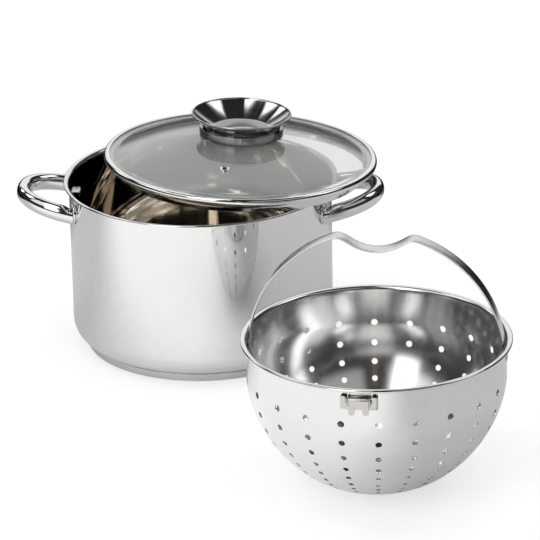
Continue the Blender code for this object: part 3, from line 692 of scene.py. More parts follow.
@dataclass(frozen=True)
class SatinSteel:
    """Stainless steel with fine turning or brushing lines along its map's U."""

    name: str = "satin_steel_finish"
    colour: Triple = (0.66, 0.66, 0.655)
    shade: Triple = (0.54, 0.54, 0.54)
    roughness: float = 0.17
    coarse_roughness: float = 0.31
    anisotropy: float = 0.7
    line_pitch: float = 3600.0
    line_depth: float = 0.000004
    along_pitch: float = 40.0

    def make(self) -> Material:
        """Build the material.

        Returns:
            The material.
        """
        material, nodes, shader = new_material(self.name)
        place = nodes.position()
        spot = nodes.add("ShaderNodeSeparateXYZ", None, {0: place})
        unrolled = nodes.add("ShaderNodeUVMap", {"uv_map": UV_NAME}).outputs[0]
        across = nodes.add("ShaderNodeSeparateXYZ", None, {0: unrolled}).outputs[1]
        pitch = nodes.math("MULTIPLY", across, self.line_pitch)
        near_x = nodes.math("MULTIPLY", spot.outputs[0], self.along_pitch)
        near_y = nodes.math("MULTIPLY", spot.outputs[1], self.along_pitch)
        lines = nodes.noise(nodes.vector(near_x, near_y, pitch), 1.0, 4.0, 0.7)
        bands = nodes.noise(nodes.vector(near_x, near_y, nodes.math("MULTIPLY", pitch, 0.11)),
                            0.5, 2.0)
        streak = nodes.math("MULTIPLY_ADD", bands, 0.4, nodes.math("MULTIPLY", lines, 0.6))
        roughness = nodes.ramp(streak, 0.3, 0.7, self.roughness, self.coarse_roughness)
        wear = nodes.ramp(nodes.noise(place, 60.0, 4.0), 0.35, 0.7, 0.25, 0.75)
        share = nodes.math("MULTIPLY", nodes.ramp(streak, 0.3, 0.7, 0.0, 1.0), wear)
        colour = nodes.blend(share, (*self.colour, 1.0), (*self.shade, 1.0))
        normal = nodes.bump(lines, self.line_depth)
        tangent = nodes.add("ShaderNodeTangent", {"direction_type": "UV_MAP", "uv_map": UV_NAME})
        nodes.wire(shader, {"Base Color": colour, "Roughness": roughness, "Normal": normal,
                            "Tangent": tangent.outputs[0], "Metallic": 1.0,
                            "Anisotropic": self.anisotropy, "Anisotropic Rotation": 0.25})
        return material


@dataclass(frozen=True)
class ClearGlass:
    """Tempered glass with a faint tint, wiped marks and slight waves, which lets lamps through."""

    name: str = "clear_glass_finish"
    colour: Triple = (0.70, 0.725, 0.715)
    refraction: float = 1.55
    clearness: float = 0.87
    roughness: float = 0.004
    wiped_roughness: float = 0.03
    wave_depth: float = 0.00004

    def make(self) -> Material:
        """Build the material.

        Returns:
            The material.
        """
        material, nodes, shader = new_material(self.name)
        place = nodes.position()
        marks = nodes.ramp(nodes.noise(nodes.scaled(place, (1.0, 2.5, 1.0)), 22.0, 5.0, 0.65),
                           0.5, 0.78, self.roughness, self.wiped_roughness)
        normal = nodes.bump(nodes.noise(place, 12.0), self.wave_depth)
        nodes.wire(shader, {"Base Color": (*self.colour, 1.0), "Roughness": marks,
                            "Normal": normal, "IOR": self.refraction,
                            "Transmission Weight": self.clearness})
        path = nodes.add("ShaderNodeLightPath")
        clear = nodes.add("ShaderNodeBsdfTransparent", None, {"Color": (*self.colour, 1.0)})
        both = nodes.add("ShaderNodeMixShader", None,
                         {0: path.outputs["Is Shadow Ray"], 1: shader.outputs[0],
                          2: clear.outputs[0]})
        output = material.node_tree.nodes["Material Output"]
        nodes.feed(output.inputs["Surface"], both.outputs[0])
        return material


@dataclass(frozen=True)
class PlainFinish:
    """A rolled or moulded surface with fine grain, for the core and the seal."""

    name: str
    colour: Triple
    shade: Triple
    metallic: float
    roughness: float
    grain_scale: float
    grain_depth: float = 0.00001

    def make(self) -> Material:
        """Build the material.

        Returns:
            The material.
        """
        material, nodes, shader = new_material(self.name)
        place = nodes.position()
        grain = nodes.noise(place, self.grain_scale, 4.0, 0.6)
        colour = nodes.blend(grain, (*self.colour, 1.0), (*self.shade, 1.0))
        rough = nodes.ramp(grain, 0.3, 0.7, self.roughness - 0.08, self.roughness + 0.08)
        nodes.wire(shader, {"Base Color": colour, "Roughness": rough,
                            "Normal": nodes.bump(grain, self.grain_depth),
                            "Metallic": self.metallic})
        return material


def shared(finish: PolishedSteel | SatinSteel | ClearGlass | PlainFinish) -> Material:
    """A field for a finish's material, which is made when the field is filled."""
    return field(default_factory=finish.make)


@dataclass
class Finishes:
    """The materials that all pieces share."""

    polished: Material = shared(PolishedSteel())
    pot: Material = shared(PolishedSteel(
        "pot_steel_finish", inside_colour=(0.71, 0.665, 0.605), inside_roughness=-0.02))
    satin: Material = shared(SatinSteel())
    turned: Material = shared(SatinSteel(
        "turned_steel_finish", (0.56, 0.56, 0.56), (0.46, 0.46, 0.465), 0.07, 0.11, 1.0))
    # The knob base's turned steel, a darker copy of the knob's finish: its low colour is painted
    # shade for the dark surroundings it reflects.
    ring: Material = shared(SatinSteel(
        "turned_ring_painted_shade_finish", (0.36, 0.36, 0.36), (0.27, 0.27, 0.275), 0.08, 0.12, 1.0))
    strip: Material = shared(SatinSteel(
        "drawn_strip_finish", (0.72, 0.72, 0.715), (0.64, 0.64, 0.64), 0.14, 0.20, 1.0))
    clip: Material = shared(SatinSteel(
        "pressed_clip_finish", (0.60, 0.58, 0.54), (0.50, 0.485, 0.455), 0.16, 0.26, 0.5))
    glass: Material = shared(ClearGlass())
    core: Material = shared(PlainFinish(
        "aluminium_finish", (0.66, 0.67, 0.68), (0.58, 0.59, 0.60), 1.0, 0.42, 300.0))
    rubber: Material = shared(PlainFinish(
        "silicone_finish", (0.05, 0.05, 0.05), (0.035, 0.035, 0.036), 0.0, 0.6, 700.0))


# Pot

@dataclass
class Pot:
    """The pot's shell, its sandwich base, two tube handles with end plates, and two ledges."""

    finishes: Finishes
    radius: float = 0.1212
    height: float = 0.1587
    wall: float = 0.0009
    corner: float = 0.020
    yaw: float = math.radians(-2.5)
    rim_bend: float = 0.0048
    rim_lip: float = 0.0014
    base_lift: float = 0.0062
    base_margin: float = 0.0126
    base_edge: float = 0.0020
    base_sheet: float = 0.0008
    handle_reach: float = 0.0421
    handle_half_span: float = 0.040
    handle_root: float = 0.0090
    handle_roundness: float = 2.2
    handle_below_rim: float = 0.0217
    handle_rise: float = 0.0095
    tube_width: float = 0.0130
    tube_height: float = 0.0160
    tube_sides: int = 40
    handle_steps: int = 120
    pinch_length: float = 0.0110
    pinch_share: float = 0.45
    plate_width: float = 0.0160
    plate_height: float = 0.0200
    plate_thickness: float = 0.0016
    plate_flat: float = 0.82
    plate_steps: int = 56
    lug_below_rim: float = 0.0122
    lug_width: float = 0.0150
    lug_reach: float = 0.0088
    lug_lip: float = 0.0040
    lug_flange: float = 0.0080
    lug_sheet: float = 0.0012

    def __post_init__(self) -> None:
        """Work out what follows from the other sizes."""
        self.place = Matrix.Rotation(self.yaw, 4, "Z")
        self.rim_radius = self.radius + self.rim_bend
        self.inner = self.radius - self.wall
        self.handle_height = self.height - self.handle_below_rim

    def build(self) -> None:
        """Make every piece of the pot."""
        steel = (self.finishes.polished, Body.POT, Slot.POLISHED)
        satin = (self.finishes.satin, Body.POT, Slot.SATIN)
        dress("pot_shell", self.shell(), self.place, self.finishes.pot, Body.POT, Slot.POLISHED)
        dress("base_cap", self.base(), self.place, *satin)
        plate_angle = math.asin(self.handle_half_span / (self.radius + self.plate_thickness))
        for side, turn, front in (("right", 0.0, -1.0), ("left", math.pi, 1.0)):
            facing = self.place @ Matrix.Rotation(turn, 4, "Z")
            dress(f"handle_{side}", self.handle(), facing, *steel)
            dress(f"inner_lug_{side}", self.lug(), facing, *satin)
            for end, sign in (("front", front), ("rear", -front)):
                there = facing @ Matrix.Rotation(sign * plate_angle, 4, "Z")
                dress(f"handle_plate_{side}_{end}", self.end_plate(), there, *steel)

    def shell(self) -> Mesh:
        """The drawn shell with its pouring rim.

        Returns:
            The mesh, in its own frame.
        """
        lip = self.rim_lip - self.wall
        under = self.height - self.wall
        edge = self.rim_radius - self.rim_lip
        bend = self.rim_bend - self.rim_lip
        rim = arc((edge, under - lip), lip, 0, 90, 8)[:-1] + arc((edge, under - bend), bend,
                                                                  90, 180, 14)
        corner = arc((self.radius - self.corner, self.base_lift + self.corner), self.corner,
                     0, -90, 20)
        face = rim + corner + [(0.0, self.base_lift)]
        mesh = turned("pot_shell", sheet(face, self.wall, 0.0004))
        mark_inside(mesh, self.inner)
        return mesh

    def base(self) -> Mesh:
        """The pressed steel cap round the base's core, with a shallow ring underneath.

        Returns:
            The mesh, in its own frame.
        """
        radius = self.radius - self.base_margin
        inset = self.radius - self.corner
        rise = self.corner - math.sqrt(self.corner ** 2 - (radius - inset) ** 2)
        top = self.base_lift + rise - GAP
        edge = arc((radius - self.base_edge, self.base_edge), self.base_edge, 0, -90, 8)
        ring = [(0.62 * radius, 0.0), (0.61 * radius, 0.0004), (0.0, 0.0004)]
        face = [(radius, top)] + edge + ring
        return turned("base_cap", sheet(face, self.base_sheet, 0.0003))

    def handle_path(self, steps: int) -> list[Vector]:
        """The handle's centre line, a rounded loop in a plane that rises outwards.

        Args:
            steps: stretches of the line.

        Returns:
            Its points.
        """
        start = self.radius - self.handle_root
        depth = self.handle_root + self.handle_reach
        power = 2.0 / self.handle_roundness
        points = []
        for step in range(steps + 1):
            angle = math.pi * (step / steps - 0.5)
            out = start + depth * max(math.cos(angle), 0.0) ** power
            side = math.copysign(self.handle_half_span * abs(math.sin(angle)) ** power, angle)
            rise = self.handle_rise * (out - self.radius) / self.handle_reach
            points.append(Vector((out, side, self.handle_height + rise)))
        return points

    def handle(self) -> Mesh:
        """A bent oval tube whose ends are pressed flatter on top, cut to meet the plates.

        Returns:
            The tube, facing +X.
        """
        path = self.handle_path(self.handle_steps)
        lengths = distances(path)
        face = self.radius + GAP + self.plate_thickness + GAP
        free = [length for length, point in zip(lengths, path) if point.xy.length > face]
        angles = [2 * math.pi * side / self.tube_sides for side in range(self.tube_sides)]
        sections = []
        for index, point in enumerate(path):
            tangent = heading(path, index)
            up = Vector((0.0, 0.0, 1.0))
            up = (up - tangent * up.dot(tangent)).normalized()
            across = tangent.cross(up)
            from_end = min(lengths[index] - free[0], free[-1] - lengths[index])
            share = min(max(from_end / self.pinch_length, 0.0), 1.0)
            crown = self.tube_height / 2 * (self.pinch_share + (1 - self.pinch_share) * share)
            sections.append([point + across * (self.tube_width / 2 * math.cos(angle))
                             + up * min(self.tube_height / 2 * math.sin(angle), crown)
                             for angle in angles])
        mesh = lofted("handle", sections, lengths)
        cut = rod(face, self.height, Matrix.Translation((0, 0, self.handle_height)), ROUND_STEPS)
        mesh = carved(mesh, cut, "DIFFERENCE")
        return creased(mesh, CREASE)

    def end_plate(self) -> Mesh:
        """An oval plate with a soft edge that follows the pot's wall, facing +X.

        Returns:
            The mesh, in its own frame.
        """
        inner = self.radius + GAP
        levels = []
        for share in (0.02, 0.4, 0.7, 0.82, 0.90, 0.96, 0.99, 1.0):
            past = max((share - self.plate_flat) / (1.0 - self.plate_flat), 0.0)
            lift = self.plate_thickness * math.sqrt(max(1.0 - past ** 2, 0.0))
            levels.append((share, inner + max(lift, 0.0002)))
        levels += [(1.0, inner), (0.02, inner)]
        sections = []
        for share, radius in levels:
            section = []
            for step in range(self.plate_steps):
                angle = 2 * math.pi * step / self.plate_steps
                azimuth = self.plate_width / 2 * share * math.cos(angle) / inner
                up = self.plate_height / 2 * share * math.sin(angle)
                section.append(Vector((radius * math.cos(azimuth), radius * math.sin(azimuth),
                                       self.handle_height + up)))
            sections.append(section)
        lengths = [self.plate_height / 2 * share for share, _ in levels]
        return creased(lofted("end_plate", sections, lengths), 50.0)

    def lug(self) -> Mesh:
        """A folded ledge, its flange on the wall and its lip turned down, facing +X.

        Returns:
            The mesh, in its own frame.
        """
        top = self.height - self.lug_below_rim
        outer = self.inner - GAP - 0.0003
        edge = outer - self.lug_reach
        line = [(outer, top - self.lug_flange), (outer, top), (edge, top),
                (edge, top - self.lug_lip)]
        bent = rounded(line, 0.0018, closed=False, steps=6)
        outline = bent + offset(bent, -self.lug_sheet)[::-1]
        mesh = plate("inner_lug", outline, self.lug_width, 0.0003)
        mesh.transform(UPRIGHT)
        return mesh


# Lid

@dataclass
class Lid:
    """The glass with its steel band, the steam vent and the dished knob."""

    finishes: Finishes
    pot: Pot
    overhang: float = 0.0002
    glass_thickness: float = 0.0040
    glass_margin: float = 0.0038
    glass_border: float = 0.0080
    glass_bend: float = 0.0070
    glass_rise: float = 0.0233
    glass_hole: float = 0.0050
    band_sheet: float = 0.0007
    lip: float = 0.0010
    bead_depth: float = 0.0062
    skirt_play: float = 0.0048
    skirt_depth: float = 0.0157
    skirt_wall: float = 0.0010
    skirt_slant: float = 0.0023
    shift: float = 0.0405
    shift_azimuth: float = math.radians(21.6)
    lean: float = math.radians(2.73)
    vent_radius: float = 0.0783
    vent_azimuth: float = math.radians(259.3)
    vent_sleeve: float = 0.0031
    vent_bore: float = 0.00215
    vent_flange: float = 0.0050
    vent_sheet: float = 0.0006
    knob_radius: float = 0.0388
    knob_top: float = 0.0300
    knob_wall: float = 0.0016
    knob_bevel: float = 0.0010
    knob_boss: float = 0.0080
    knob_boss_height: float = 0.0014
    dish_neck: float = 0.0355
    dish_rim: float = 0.0456
    dish_depth: float = 0.0095
    dish_sheet: float = 0.0012
    dish_well: float = 0.0343
    dish_floor: float = 0.0262
    dish_dip: float = 0.0004
    dish_flare: float = 0.80
    dish_sag: float = 0.0006
    dish_bead: float = 0.0009
    dish_crown: float = 0.0004
    screw_radius: float = 0.0020
    screw_head: float = 0.0042
    screw_head_height: float = 0.0024
    screw_play: float = 0.0005
    washer_radius: float = 0.0100
    washer_sheet: float = 0.0010
    seal_radius: float = 0.0110
    seal_thickness: float = 0.0012

    def __post_init__(self) -> None:
        """Work out what follows from the other sizes."""
        self.radius = self.pot.rim_radius + self.overhang
        self.glass_radius = self.radius - self.glass_margin
        self.lip_top = GAP + self.band_sheet
        self.skirt_radius = self.pot.inner - self.skirt_play
        half = self.glass_radius - self.glass_border
        self.sphere = (half ** 2 + self.glass_rise ** 2) / (2 * self.glass_rise)
        middle = self.glass_top(self.glass_hole)
        self.dish_low = middle + GAP + self.knob_boss_height
        self.under_glass = middle - self.glass_thickness - 2 * GAP

    @property
    def place(self) -> Matrix:
        """The lid's frame, pushed to one side and leaning, with its skirt on the pot's rim.

        Returns:
            The frame's place in the world.
        """
        rim = self.pot.rim_radius - self.pot.rim_bend / 3
        meeting = (rim ** 2 - self.skirt_radius ** 2 + self.shift ** 2) / (2 * self.shift)
        bottom = self.lip_top - self.skirt_depth
        height = (self.pot.height + GAP - bottom * math.cos(self.lean)
                  + (meeting - self.shift) * math.sin(self.lean))
        turn = Matrix.Rotation(self.shift_azimuth, 4, "Z")
        there = Matrix.Translation((self.shift, 0.0, height))
        return turn @ there @ Matrix.Rotation(self.lean, 4, "Y") @ turn.inverted()

    def glass_top(self, radius: float) -> float:
        """Height of the glass's upper face at a radius."""
        return self.glass_rise - self.sphere + math.sqrt(self.sphere ** 2 - radius ** 2)

    def build(self) -> None:
        """Make every piece of the lid."""
        looks = self.finishes
        pieces = (
            ("lid_glass", self.glass(), looks.glass, Slot.GLASS),
            ("lid_rim", self.band(), looks.polished, Slot.POLISHED),
            ("vent_eyelet", self.vent(), looks.polished, Slot.POLISHED),
            # the knob base takes the turned steel darkened by painted shade
            ("knob_base", self.knob_base(), looks.ring, Slot.SATIN),
            ("knob_dish", self.knob_dish(), looks.turned, Slot.SATIN),
            ("knob_screw", self.screw(), looks.satin, Slot.SATIN),
            ("knob_washer", self.washer(), looks.satin, Slot.SATIN),
            ("knob_seal", self.seal(), looks.rubber, Slot.SILICONE),
        )
        for node, mesh, material, slot in pieces:
            dress(node, mesh, self.place, material, Body.LID, slot)

    def glass(self) -> Mesh:
        """The domed glass with a flat border and the vent's hole.

        Returns:
            The mesh, in its own frame.
        """
        half = self.glass_radius - self.glass_border
        steps = 44
        top = []
        for step in range(steps + 1):
            radius = self.glass_hole + (half - self.glass_hole) * step / steps
            top.append((radius, self.glass_top(radius)))
        top = rounded(top + [(self.glass_radius, 0.0)], self.glass_bend, closed=False,
                      least_turn=8.0)
        under = [(min(r, self.glass_radius), z) for r, z in offset(top, self.glass_thickness)]
        outline = rounded(top + under[::-1], 0.0008, steps=4, least_turn=50.0)
        mesh = turned("lid_glass", outline, True)
        hole = rod(self.vent_sleeve + GAP, 4 * self.glass_thickness, self.vent_place())
        mesh = carved(mesh, hole, "DIFFERENCE")
        mesh.shade_smooth()
        return creased(mesh, CREASE)

    def band(self) -> Mesh:
        """The rolled steel band that holds the glass and hangs into the pot as a skirt.

        Returns:
            The mesh, in its own frame.
        """
        seat = self.glass_radius + GAP
        floor = -self.glass_thickness - GAP
        under = self.lip_top - self.bead_depth
        low = self.lip_top - self.skirt_depth
        skirt_top = self.skirt_radius + self.skirt_slant
        bead = (self.lip_top - under) / 2
        axis = self.radius - 0.8 * bead
        outer = [(axis + 0.8 * (r - axis), z)
                 for r, z in arc((axis, self.lip_top - bead), bead, 90, -80, 16)]
        skirt = rounded([
            (skirt_top + self.skirt_wall, under - self.band_sheet / 2),
            (skirt_top, (under + low) / 2),
            (self.skirt_radius, low + self.skirt_wall),
            (self.skirt_radius - self.skirt_wall / 2, low),
            (self.skirt_radius - self.skirt_wall, low + self.skirt_wall),
            (skirt_top - self.skirt_wall, (under + low) / 2),
            (skirt_top - self.skirt_wall / 2, floor),
            (seat, floor), (seat, GAP), (self.glass_radius - self.lip, GAP),
            (self.glass_radius - self.lip, self.lip_top)],
            0.0006, closed=False, least_turn=10.0)
        return turned("lid_rim", outer + skirt, True)

    def vent_place(self) -> Matrix:
        """The vent's place, square to the dome, with height 0 on the glass.

        Returns:
            The frame.
        """
        tilt = self.vent_radius / self.sphere
        flat = Vector((math.cos(self.vent_azimuth), math.sin(self.vent_azimuth), 0.0))
        normal = flat * tilt + Vector((0.0, 0.0, math.sqrt(1 - tilt ** 2)))
        height = Vector((0.0, 0.0, self.glass_top(self.vent_radius)))
        return along(normal, flat * self.vent_radius + height)

    def vent(self) -> Mesh:
        """A tubular rivet through the glass, its ends rolled into flanges.

        Returns:
            The mesh, in its own frame.
        """
        lift = GAP + self.vent_flange ** 2 / (2 * self.sphere)
        top = lift + self.vent_sheet
        low = -self.glass_thickness - 2 * GAP
        outline = [(self.vent_bore, top + self.vent_sheet / 2),
                   (self.vent_flange - self.vent_sheet, top),
                   (self.vent_flange, lift), (self.vent_sleeve, lift), (self.vent_sleeve, low),
                   (self.vent_flange, low), (self.vent_flange, low - self.vent_sheet / 2),
                   (self.vent_flange - self.vent_sheet, low - self.vent_sheet),
                   (self.vent_bore, low - self.vent_sheet)]
        mesh = turned("vent_eyelet", rounded(outline, 0.0005), True, SMALL_STEPS)
        mesh.transform(self.vent_place())
        return mesh

    def knob_base(self) -> Mesh:
        """The turned ring under the dish, hollow above the glass and open at its top.

        Returns:
            The mesh, in its own frame.
        """
        inner = self.knob_radius - self.knob_wall
        foot = self.glass_top(inner) + GAP
        roof = self.knob_top - self.knob_wall
        opening = self.dish_well + GAP
        bevel = self.knob_bevel
        outline = [(opening, self.knob_top), (self.knob_radius - 2.4 * bevel, self.knob_top),
                   (self.knob_radius, self.knob_top - 1.3 * bevel), (self.knob_radius, foot),
                   (inner, foot), (inner, roof), (opening, roof)]
        return turned("knob_base", rounded(outline, 0.0004), True)

    def knob_dish(self) -> Mesh:
        """The flared dish, spun from sheet, sunk into the base, with a screw boss under it.

        Returns:
            The dish, round Z.
        """
        low = self.knob_top + GAP
        sheet_low = low + self.dish_sheet
        floor = self.dish_low
        crown = floor - self.knob_boss_height
        bore = self.screw_radius + GAP
        shares = [1.0 - step / 18 for step in range(19)]
        flare = [(self.dish_neck + (self.dish_rim - self.dish_neck) * share ** self.dish_flare,
                  sheet_low + (self.dish_depth - self.dish_sheet) * share) for share in shares]
        neck = [(self.dish_neck - self.dish_sheet / 2, low), (self.dish_well, low)]
        bowl = [(self.dish_floor * share, floor - self.dish_dip * (1.0 - share ** 2))
                for share in (1.0, 0.85, 0.7, 0.55, 0.4)]
        top = bowl[-1][1]
        middle = (0.0, floor - self.dish_dip)
        boss = rounded(neck + bowl + [(self.knob_boss, top), (self.knob_boss, crown),
                                      (bore, crown), (bore, middle[1]), middle],
                       0.0004, closed=False, least_turn=8.0)
        inner = offset(flare + neck, self.dish_sheet)
        return turned("knob_dish", self.dish_hollow(inner[2]) + self.dish_edge(inner[0], flare[0])
                      + flare[2:] + boss)

    def dish_hollow(self, start: Point) -> Profile:
        """The dish's inner face.

        Args:
            start: where it meets the rim's bead.

        Returns:
            Points from the middle outwards.
        """
        end = (self.dish_floor, self.dish_low + self.dish_sheet)
        wall = []
        for step in range(13):
            share = step / 12.0
            sag = 4.0 * self.dish_sag * share * (1.0 - share)
            wall.append((start[0] + (end[0] - start[0]) * share,
                         start[1] + (end[1] - start[1]) * share - sag))
        bottom = [(self.dish_floor * share, end[1] + self.dish_crown * (1.0 - share ** 2))
                  for share in (0.88, 0.76, 0.64, 0.52, 0.4, 0.28, 0.16, 0.0)]
        return rounded(wall + bottom, 0.004, closed=False, steps=5, least_turn=8.0)[::-1]

    def dish_edge(self, inner: Point, outer: Point) -> Profile:
        """The rolled bead on the dish's rim.

        Args:
            inner: the inner face's last point.
            outer: the outer face's first point.

        Returns:
            Points from the inner face over the bead to the outer one.
        """
        centre = ((inner[0] + outer[0]) / 2.0, (inner[1] + outer[1]) / 2.0)
        lean = math.degrees(math.atan2(inner[1] - outer[1], inner[0] - outer[0]))
        joint = math.degrees(math.acos(self.dish_sheet / 2.0 / self.dish_bead))
        return arc(centre, self.dish_bead, lean + joint, lean - 180.0 - joint, 12)

    def washer_outline(self, radius: float, top: float, thickness: float) -> Profile:
        """A flat ring round the screw.

        Args:
            radius: the outer one.
            top: height of its upper face.
            thickness: of the ring.

        Returns:
            The closed outline.
        """
        bore = self.screw_radius + GAP
        low = top - thickness
        return rounded([(bore, top), (radius, top), (radius, low), (bore, low)], thickness / 4)

    def seal(self) -> Mesh:
        """The silicone ring under the glass."""
        top = self.under_glass - GAP
        outline = self.washer_outline(self.seal_radius, top, self.seal_thickness - GAP)
        return turned("knob_seal", outline, True, SMALL_STEPS)

    def washer(self) -> Mesh:
        """The steel washer under the seal."""
        top = self.under_glass - self.seal_thickness - GAP
        outline = self.washer_outline(self.washer_radius, top, self.washer_sheet)
        return turned("knob_washer", outline, True, SMALL_STEPS)

    def screw(self) -> Mesh:
        """The screw that holds the knob, with a crossed recess in its head.

        Returns:
            The mesh, in its own frame.
        """
        tip = self.dish_low - self.dish_dip - self.screw_play
        head_top = self.under_glass - self.seal_thickness - 2 * GAP - self.washer_sheet
        head_low = head_top - self.screw_head_height
        outline = [(0.0, tip), (self.screw_radius, tip), (self.screw_radius, head_top),
                   (self.screw_head, head_top),
                   (self.screw_head, head_low + self.screw_head_height / 3),
                   (self.screw_head * 0.7, head_low), (0.0, head_low)]
        mesh = turned("knob_screw", rounded(outline, 0.0003, closed=False), False, SMALL_STEPS)
        for turn in (0.0, math.pi / 2):
            blade = bmesh.new()
            size = (self.screw_head, self.screw_head * 0.2, self.screw_head_height)
            place = (Matrix.Translation((0, 0, head_low)) @ Matrix.Rotation(turn, 4, "Z")
                     @ Matrix.Diagonal((*size, 1.0)))
            bmesh.ops.create_cube(blade, size=1.0, matrix=place)
            mesh = carved(mesh, finished(blade, "recess"), "DIFFERENCE")
        return creased(mesh, PLATE_CREASE)


# Strainer

@dataclass
class Perforation:
    """The pattern of holes in the bowl, row by row down its curve."""

    columns: int = 22
    rows: int = 8
    pitch: float = 0.0185
    pitch_ratio: float = 0.90
    diameter: float = 0.0059
    diameter_ratio: float = 0.95
    directions: int = 24
    rings: int = 4

    def distance(self, row: float) -> float:
        """How far along the curve a row lies, whole rows at the holes' middles."""
        return self.pitch * (1 - self.pitch_ratio ** row) / (1 - self.pitch_ratio)


class PerforatedBand:
    """A Geometry Nodes tree that wraps perforated cells round the bowl's curved wall.

    Each cell is a small grid bent into rings round its hole. Its outer ring is the cell's
    square border, so that neighbours share their points and merge into one sheet.
    """

    def __init__(self, holes: Perforation, material: Material) -> None:
        """Keep the pattern and make the tree.

        Args:
            holes: the pattern.
            material: of the sheet.
        """
        self.holes = holes
        self.tree = bpy.data.node_groups.new("perforated_band", "GeometryNodeTree")
        self.nodes = Nodes(self.tree)
        self.identifiers: dict[str, str] = {}
        self.source = None
        self.fill(material)

    def input(self, name: str, kind: str, value: float) -> None:
        """Add a named input with its default."""
        socket = self.tree.interface.new_socket(name, in_out="INPUT", socket_type=kind)
        socket.default_value = value
        self.identifiers[name] = socket.identifier

    def fill(self, material: Material) -> None:
        """Build the tree.

        Args:
            material: that the tree sets.
        """
        for name in ("Bowl Radius", "Foot Radius", "Curve Height", "Exponent", "Pitch",
                     "Pitch Ratio", "Hole Diameter", "Hole Ratio"):
            self.input(name, "NodeSocketFloat", 0.0)
        for name in ("Columns", "Rows"):
            self.input(name, "NodeSocketInt", 1)
        self.tree.interface.new_socket("Geometry", in_out="OUTPUT",
                                       socket_type="NodeSocketGeometry")
        nodes = self.nodes
        self.source = nodes.add("NodeGroupInput").outputs
        count = nodes.math("MULTIPLY", self.source["Columns"], self.source["Rows"])
        points = nodes.add("GeometryNodePoints", None, {"Count": count})
        index = nodes.add("GeometryNodeInputIndex").outputs[0]
        row = nodes.math("FLOOR", nodes.math("DIVIDE", nodes.math("ADD", index, 0.5),
                                             self.source["Columns"]))
        column = nodes.math("SUBTRACT", index, nodes.math("MULTIPLY", row, self.source["Columns"]))
        held = self.store(points.outputs[0], "row", row)
        held = self.store(held, "column", column)
        cell = nodes.add("GeometryNodeMeshGrid", None,
                         {"Size X": 1.0, "Size Y": 1.0,
                          "Vertices X": self.holes.directions + 1,
                          "Vertices Y": self.holes.rings + 1})
        spot = nodes.add("ShaderNodeSeparateXYZ", None,
                         {0: nodes.add("GeometryNodeInputPosition").outputs[0]})
        shape = self.store(cell.outputs[0], "turn", nodes.math("ADD", spot.outputs[0], 0.5))
        shape = self.store(shape, "share", nodes.math("ADD", spot.outputs[1], 0.5))
        copies = nodes.add("GeometryNodeInstanceOnPoints", None,
                           {"Points": held, "Instance": shape})
        real = nodes.add("GeometryNodeRealizeInstances", None, {0: copies.outputs[0]})
        wrapped = nodes.add("GeometryNodeSetPosition", None,
                            {"Geometry": real.outputs[0], "Position": self.wrap()})
        merged = nodes.add("GeometryNodeMergeByDistance", None,
                           {"Geometry": wrapped.outputs[0], "Distance": 0.00002})
        smooth = nodes.add("GeometryNodeSetShadeSmooth", None, {0: merged.outputs[0]})
        realized = nodes.add("GeometryNodeRealizeInstances", None, {0: smooth.outputs[0]})
        dressed = nodes.add("GeometryNodeSetMaterial", None,
                            {"Geometry": realized.outputs[0], "Material": material})
        nodes.add("NodeGroupOutput", None, {0: dressed.outputs[0]})

    def store(self, geometry: Socket, name: str, value: Socket) -> Socket:
        """Store a number on the points of a geometry.

        Args:
            geometry: what gets it.
            name: of the attribute.
            value: the number.

        Returns:
            The geometry with it.
        """
        node = self.nodes.add("GeometryNodeStoreNamedAttribute", {"data_type": "FLOAT"},
                              {"Geometry": geometry, "Name": name})
        slots = [s for s in node.inputs if s.name == "Value" and s.enabled]
        self.nodes.feed(slots[0], value)
        return node.outputs[0]

    def named(self, name: str) -> Socket:
        """Read a stored number."""
        node = self.nodes.add("GeometryNodeInputNamedAttribute", {"data_type": "FLOAT"},
                              {"Name": name})
        return [s for s in node.outputs if s.name == "Attribute" and s.enabled][0]

    def row_distance(self, row: Socket) -> Socket:
        """Distance along the curve of a row that may be a fraction.

        Args:
            row: its number.

        Returns:
            The distance.
        """
        nodes = self.nodes
        ratio = self.source["Pitch Ratio"]
        left = nodes.math("SUBTRACT", 1.0, nodes.math("POWER", ratio, row))
        whole = nodes.math("DIVIDE", left, nodes.math("SUBTRACT", 1.0, ratio))
        return nodes.math("MULTIPLY", self.source["Pitch"], whole)

    def curve_point(self, distance: Socket) -> tuple[Socket, Socket]:
        """Radius and height on the bowl's outer curve, at a distance from the first row.

        Args:
            distance: from the first row.

        Returns:
            Radius and height.
        """
        nodes = self.nodes
        steps = 500
        straight = 0.03
        line = nodes.add("GeometryNodeMeshLine", None, {"Count": steps + 2})
        index = nodes.add("GeometryNodeInputIndex").outputs[0]
        angle = nodes.math("MULTIPLY", nodes.math("MAXIMUM", nodes.math("SUBTRACT", index, 1.0),
                                                  0.0), math.pi / 2 / steps)
        power = nodes.math("DIVIDE", 2.0, self.source["Exponent"])
        cosine = nodes.math("MAXIMUM", nodes.math("COSINE", angle), 0.0)
        across = nodes.math("POWER", cosine, power)
        down = nodes.math("POWER", nodes.math("SINE", angle), power)
        spread = nodes.math("SUBTRACT", self.source["Bowl Radius"], self.source["Foot Radius"])
        radius = nodes.math("MULTIPLY_ADD", spread, across, self.source["Foot Radius"])
        height = nodes.math("MULTIPLY", self.source["Curve Height"],
                            nodes.math("SUBTRACT", 1.0, down))
        is_first = nodes.math("LESS_THAN", index, 0.5)
        height = nodes.math("MULTIPLY_ADD", is_first, straight, height)
        placed = nodes.add("GeometryNodeSetPosition", None,
                           {"Geometry": line.outputs[0],
                            "Position": nodes.vector(radius, 0.0, height)})
        curve = nodes.add("GeometryNodeMeshToCurve", None, {"Mesh": placed.outputs[0]})
        sample = nodes.add("GeometryNodeSampleCurve", {"mode": "LENGTH"},
                           {"Curves": curve.outputs[0],
                            "Length": nodes.math("ADD", distance, straight)})
        found = nodes.add("ShaderNodeSeparateXYZ", None, {0: sample.outputs["Position"]})
        return found.outputs[0], found.outputs[2]

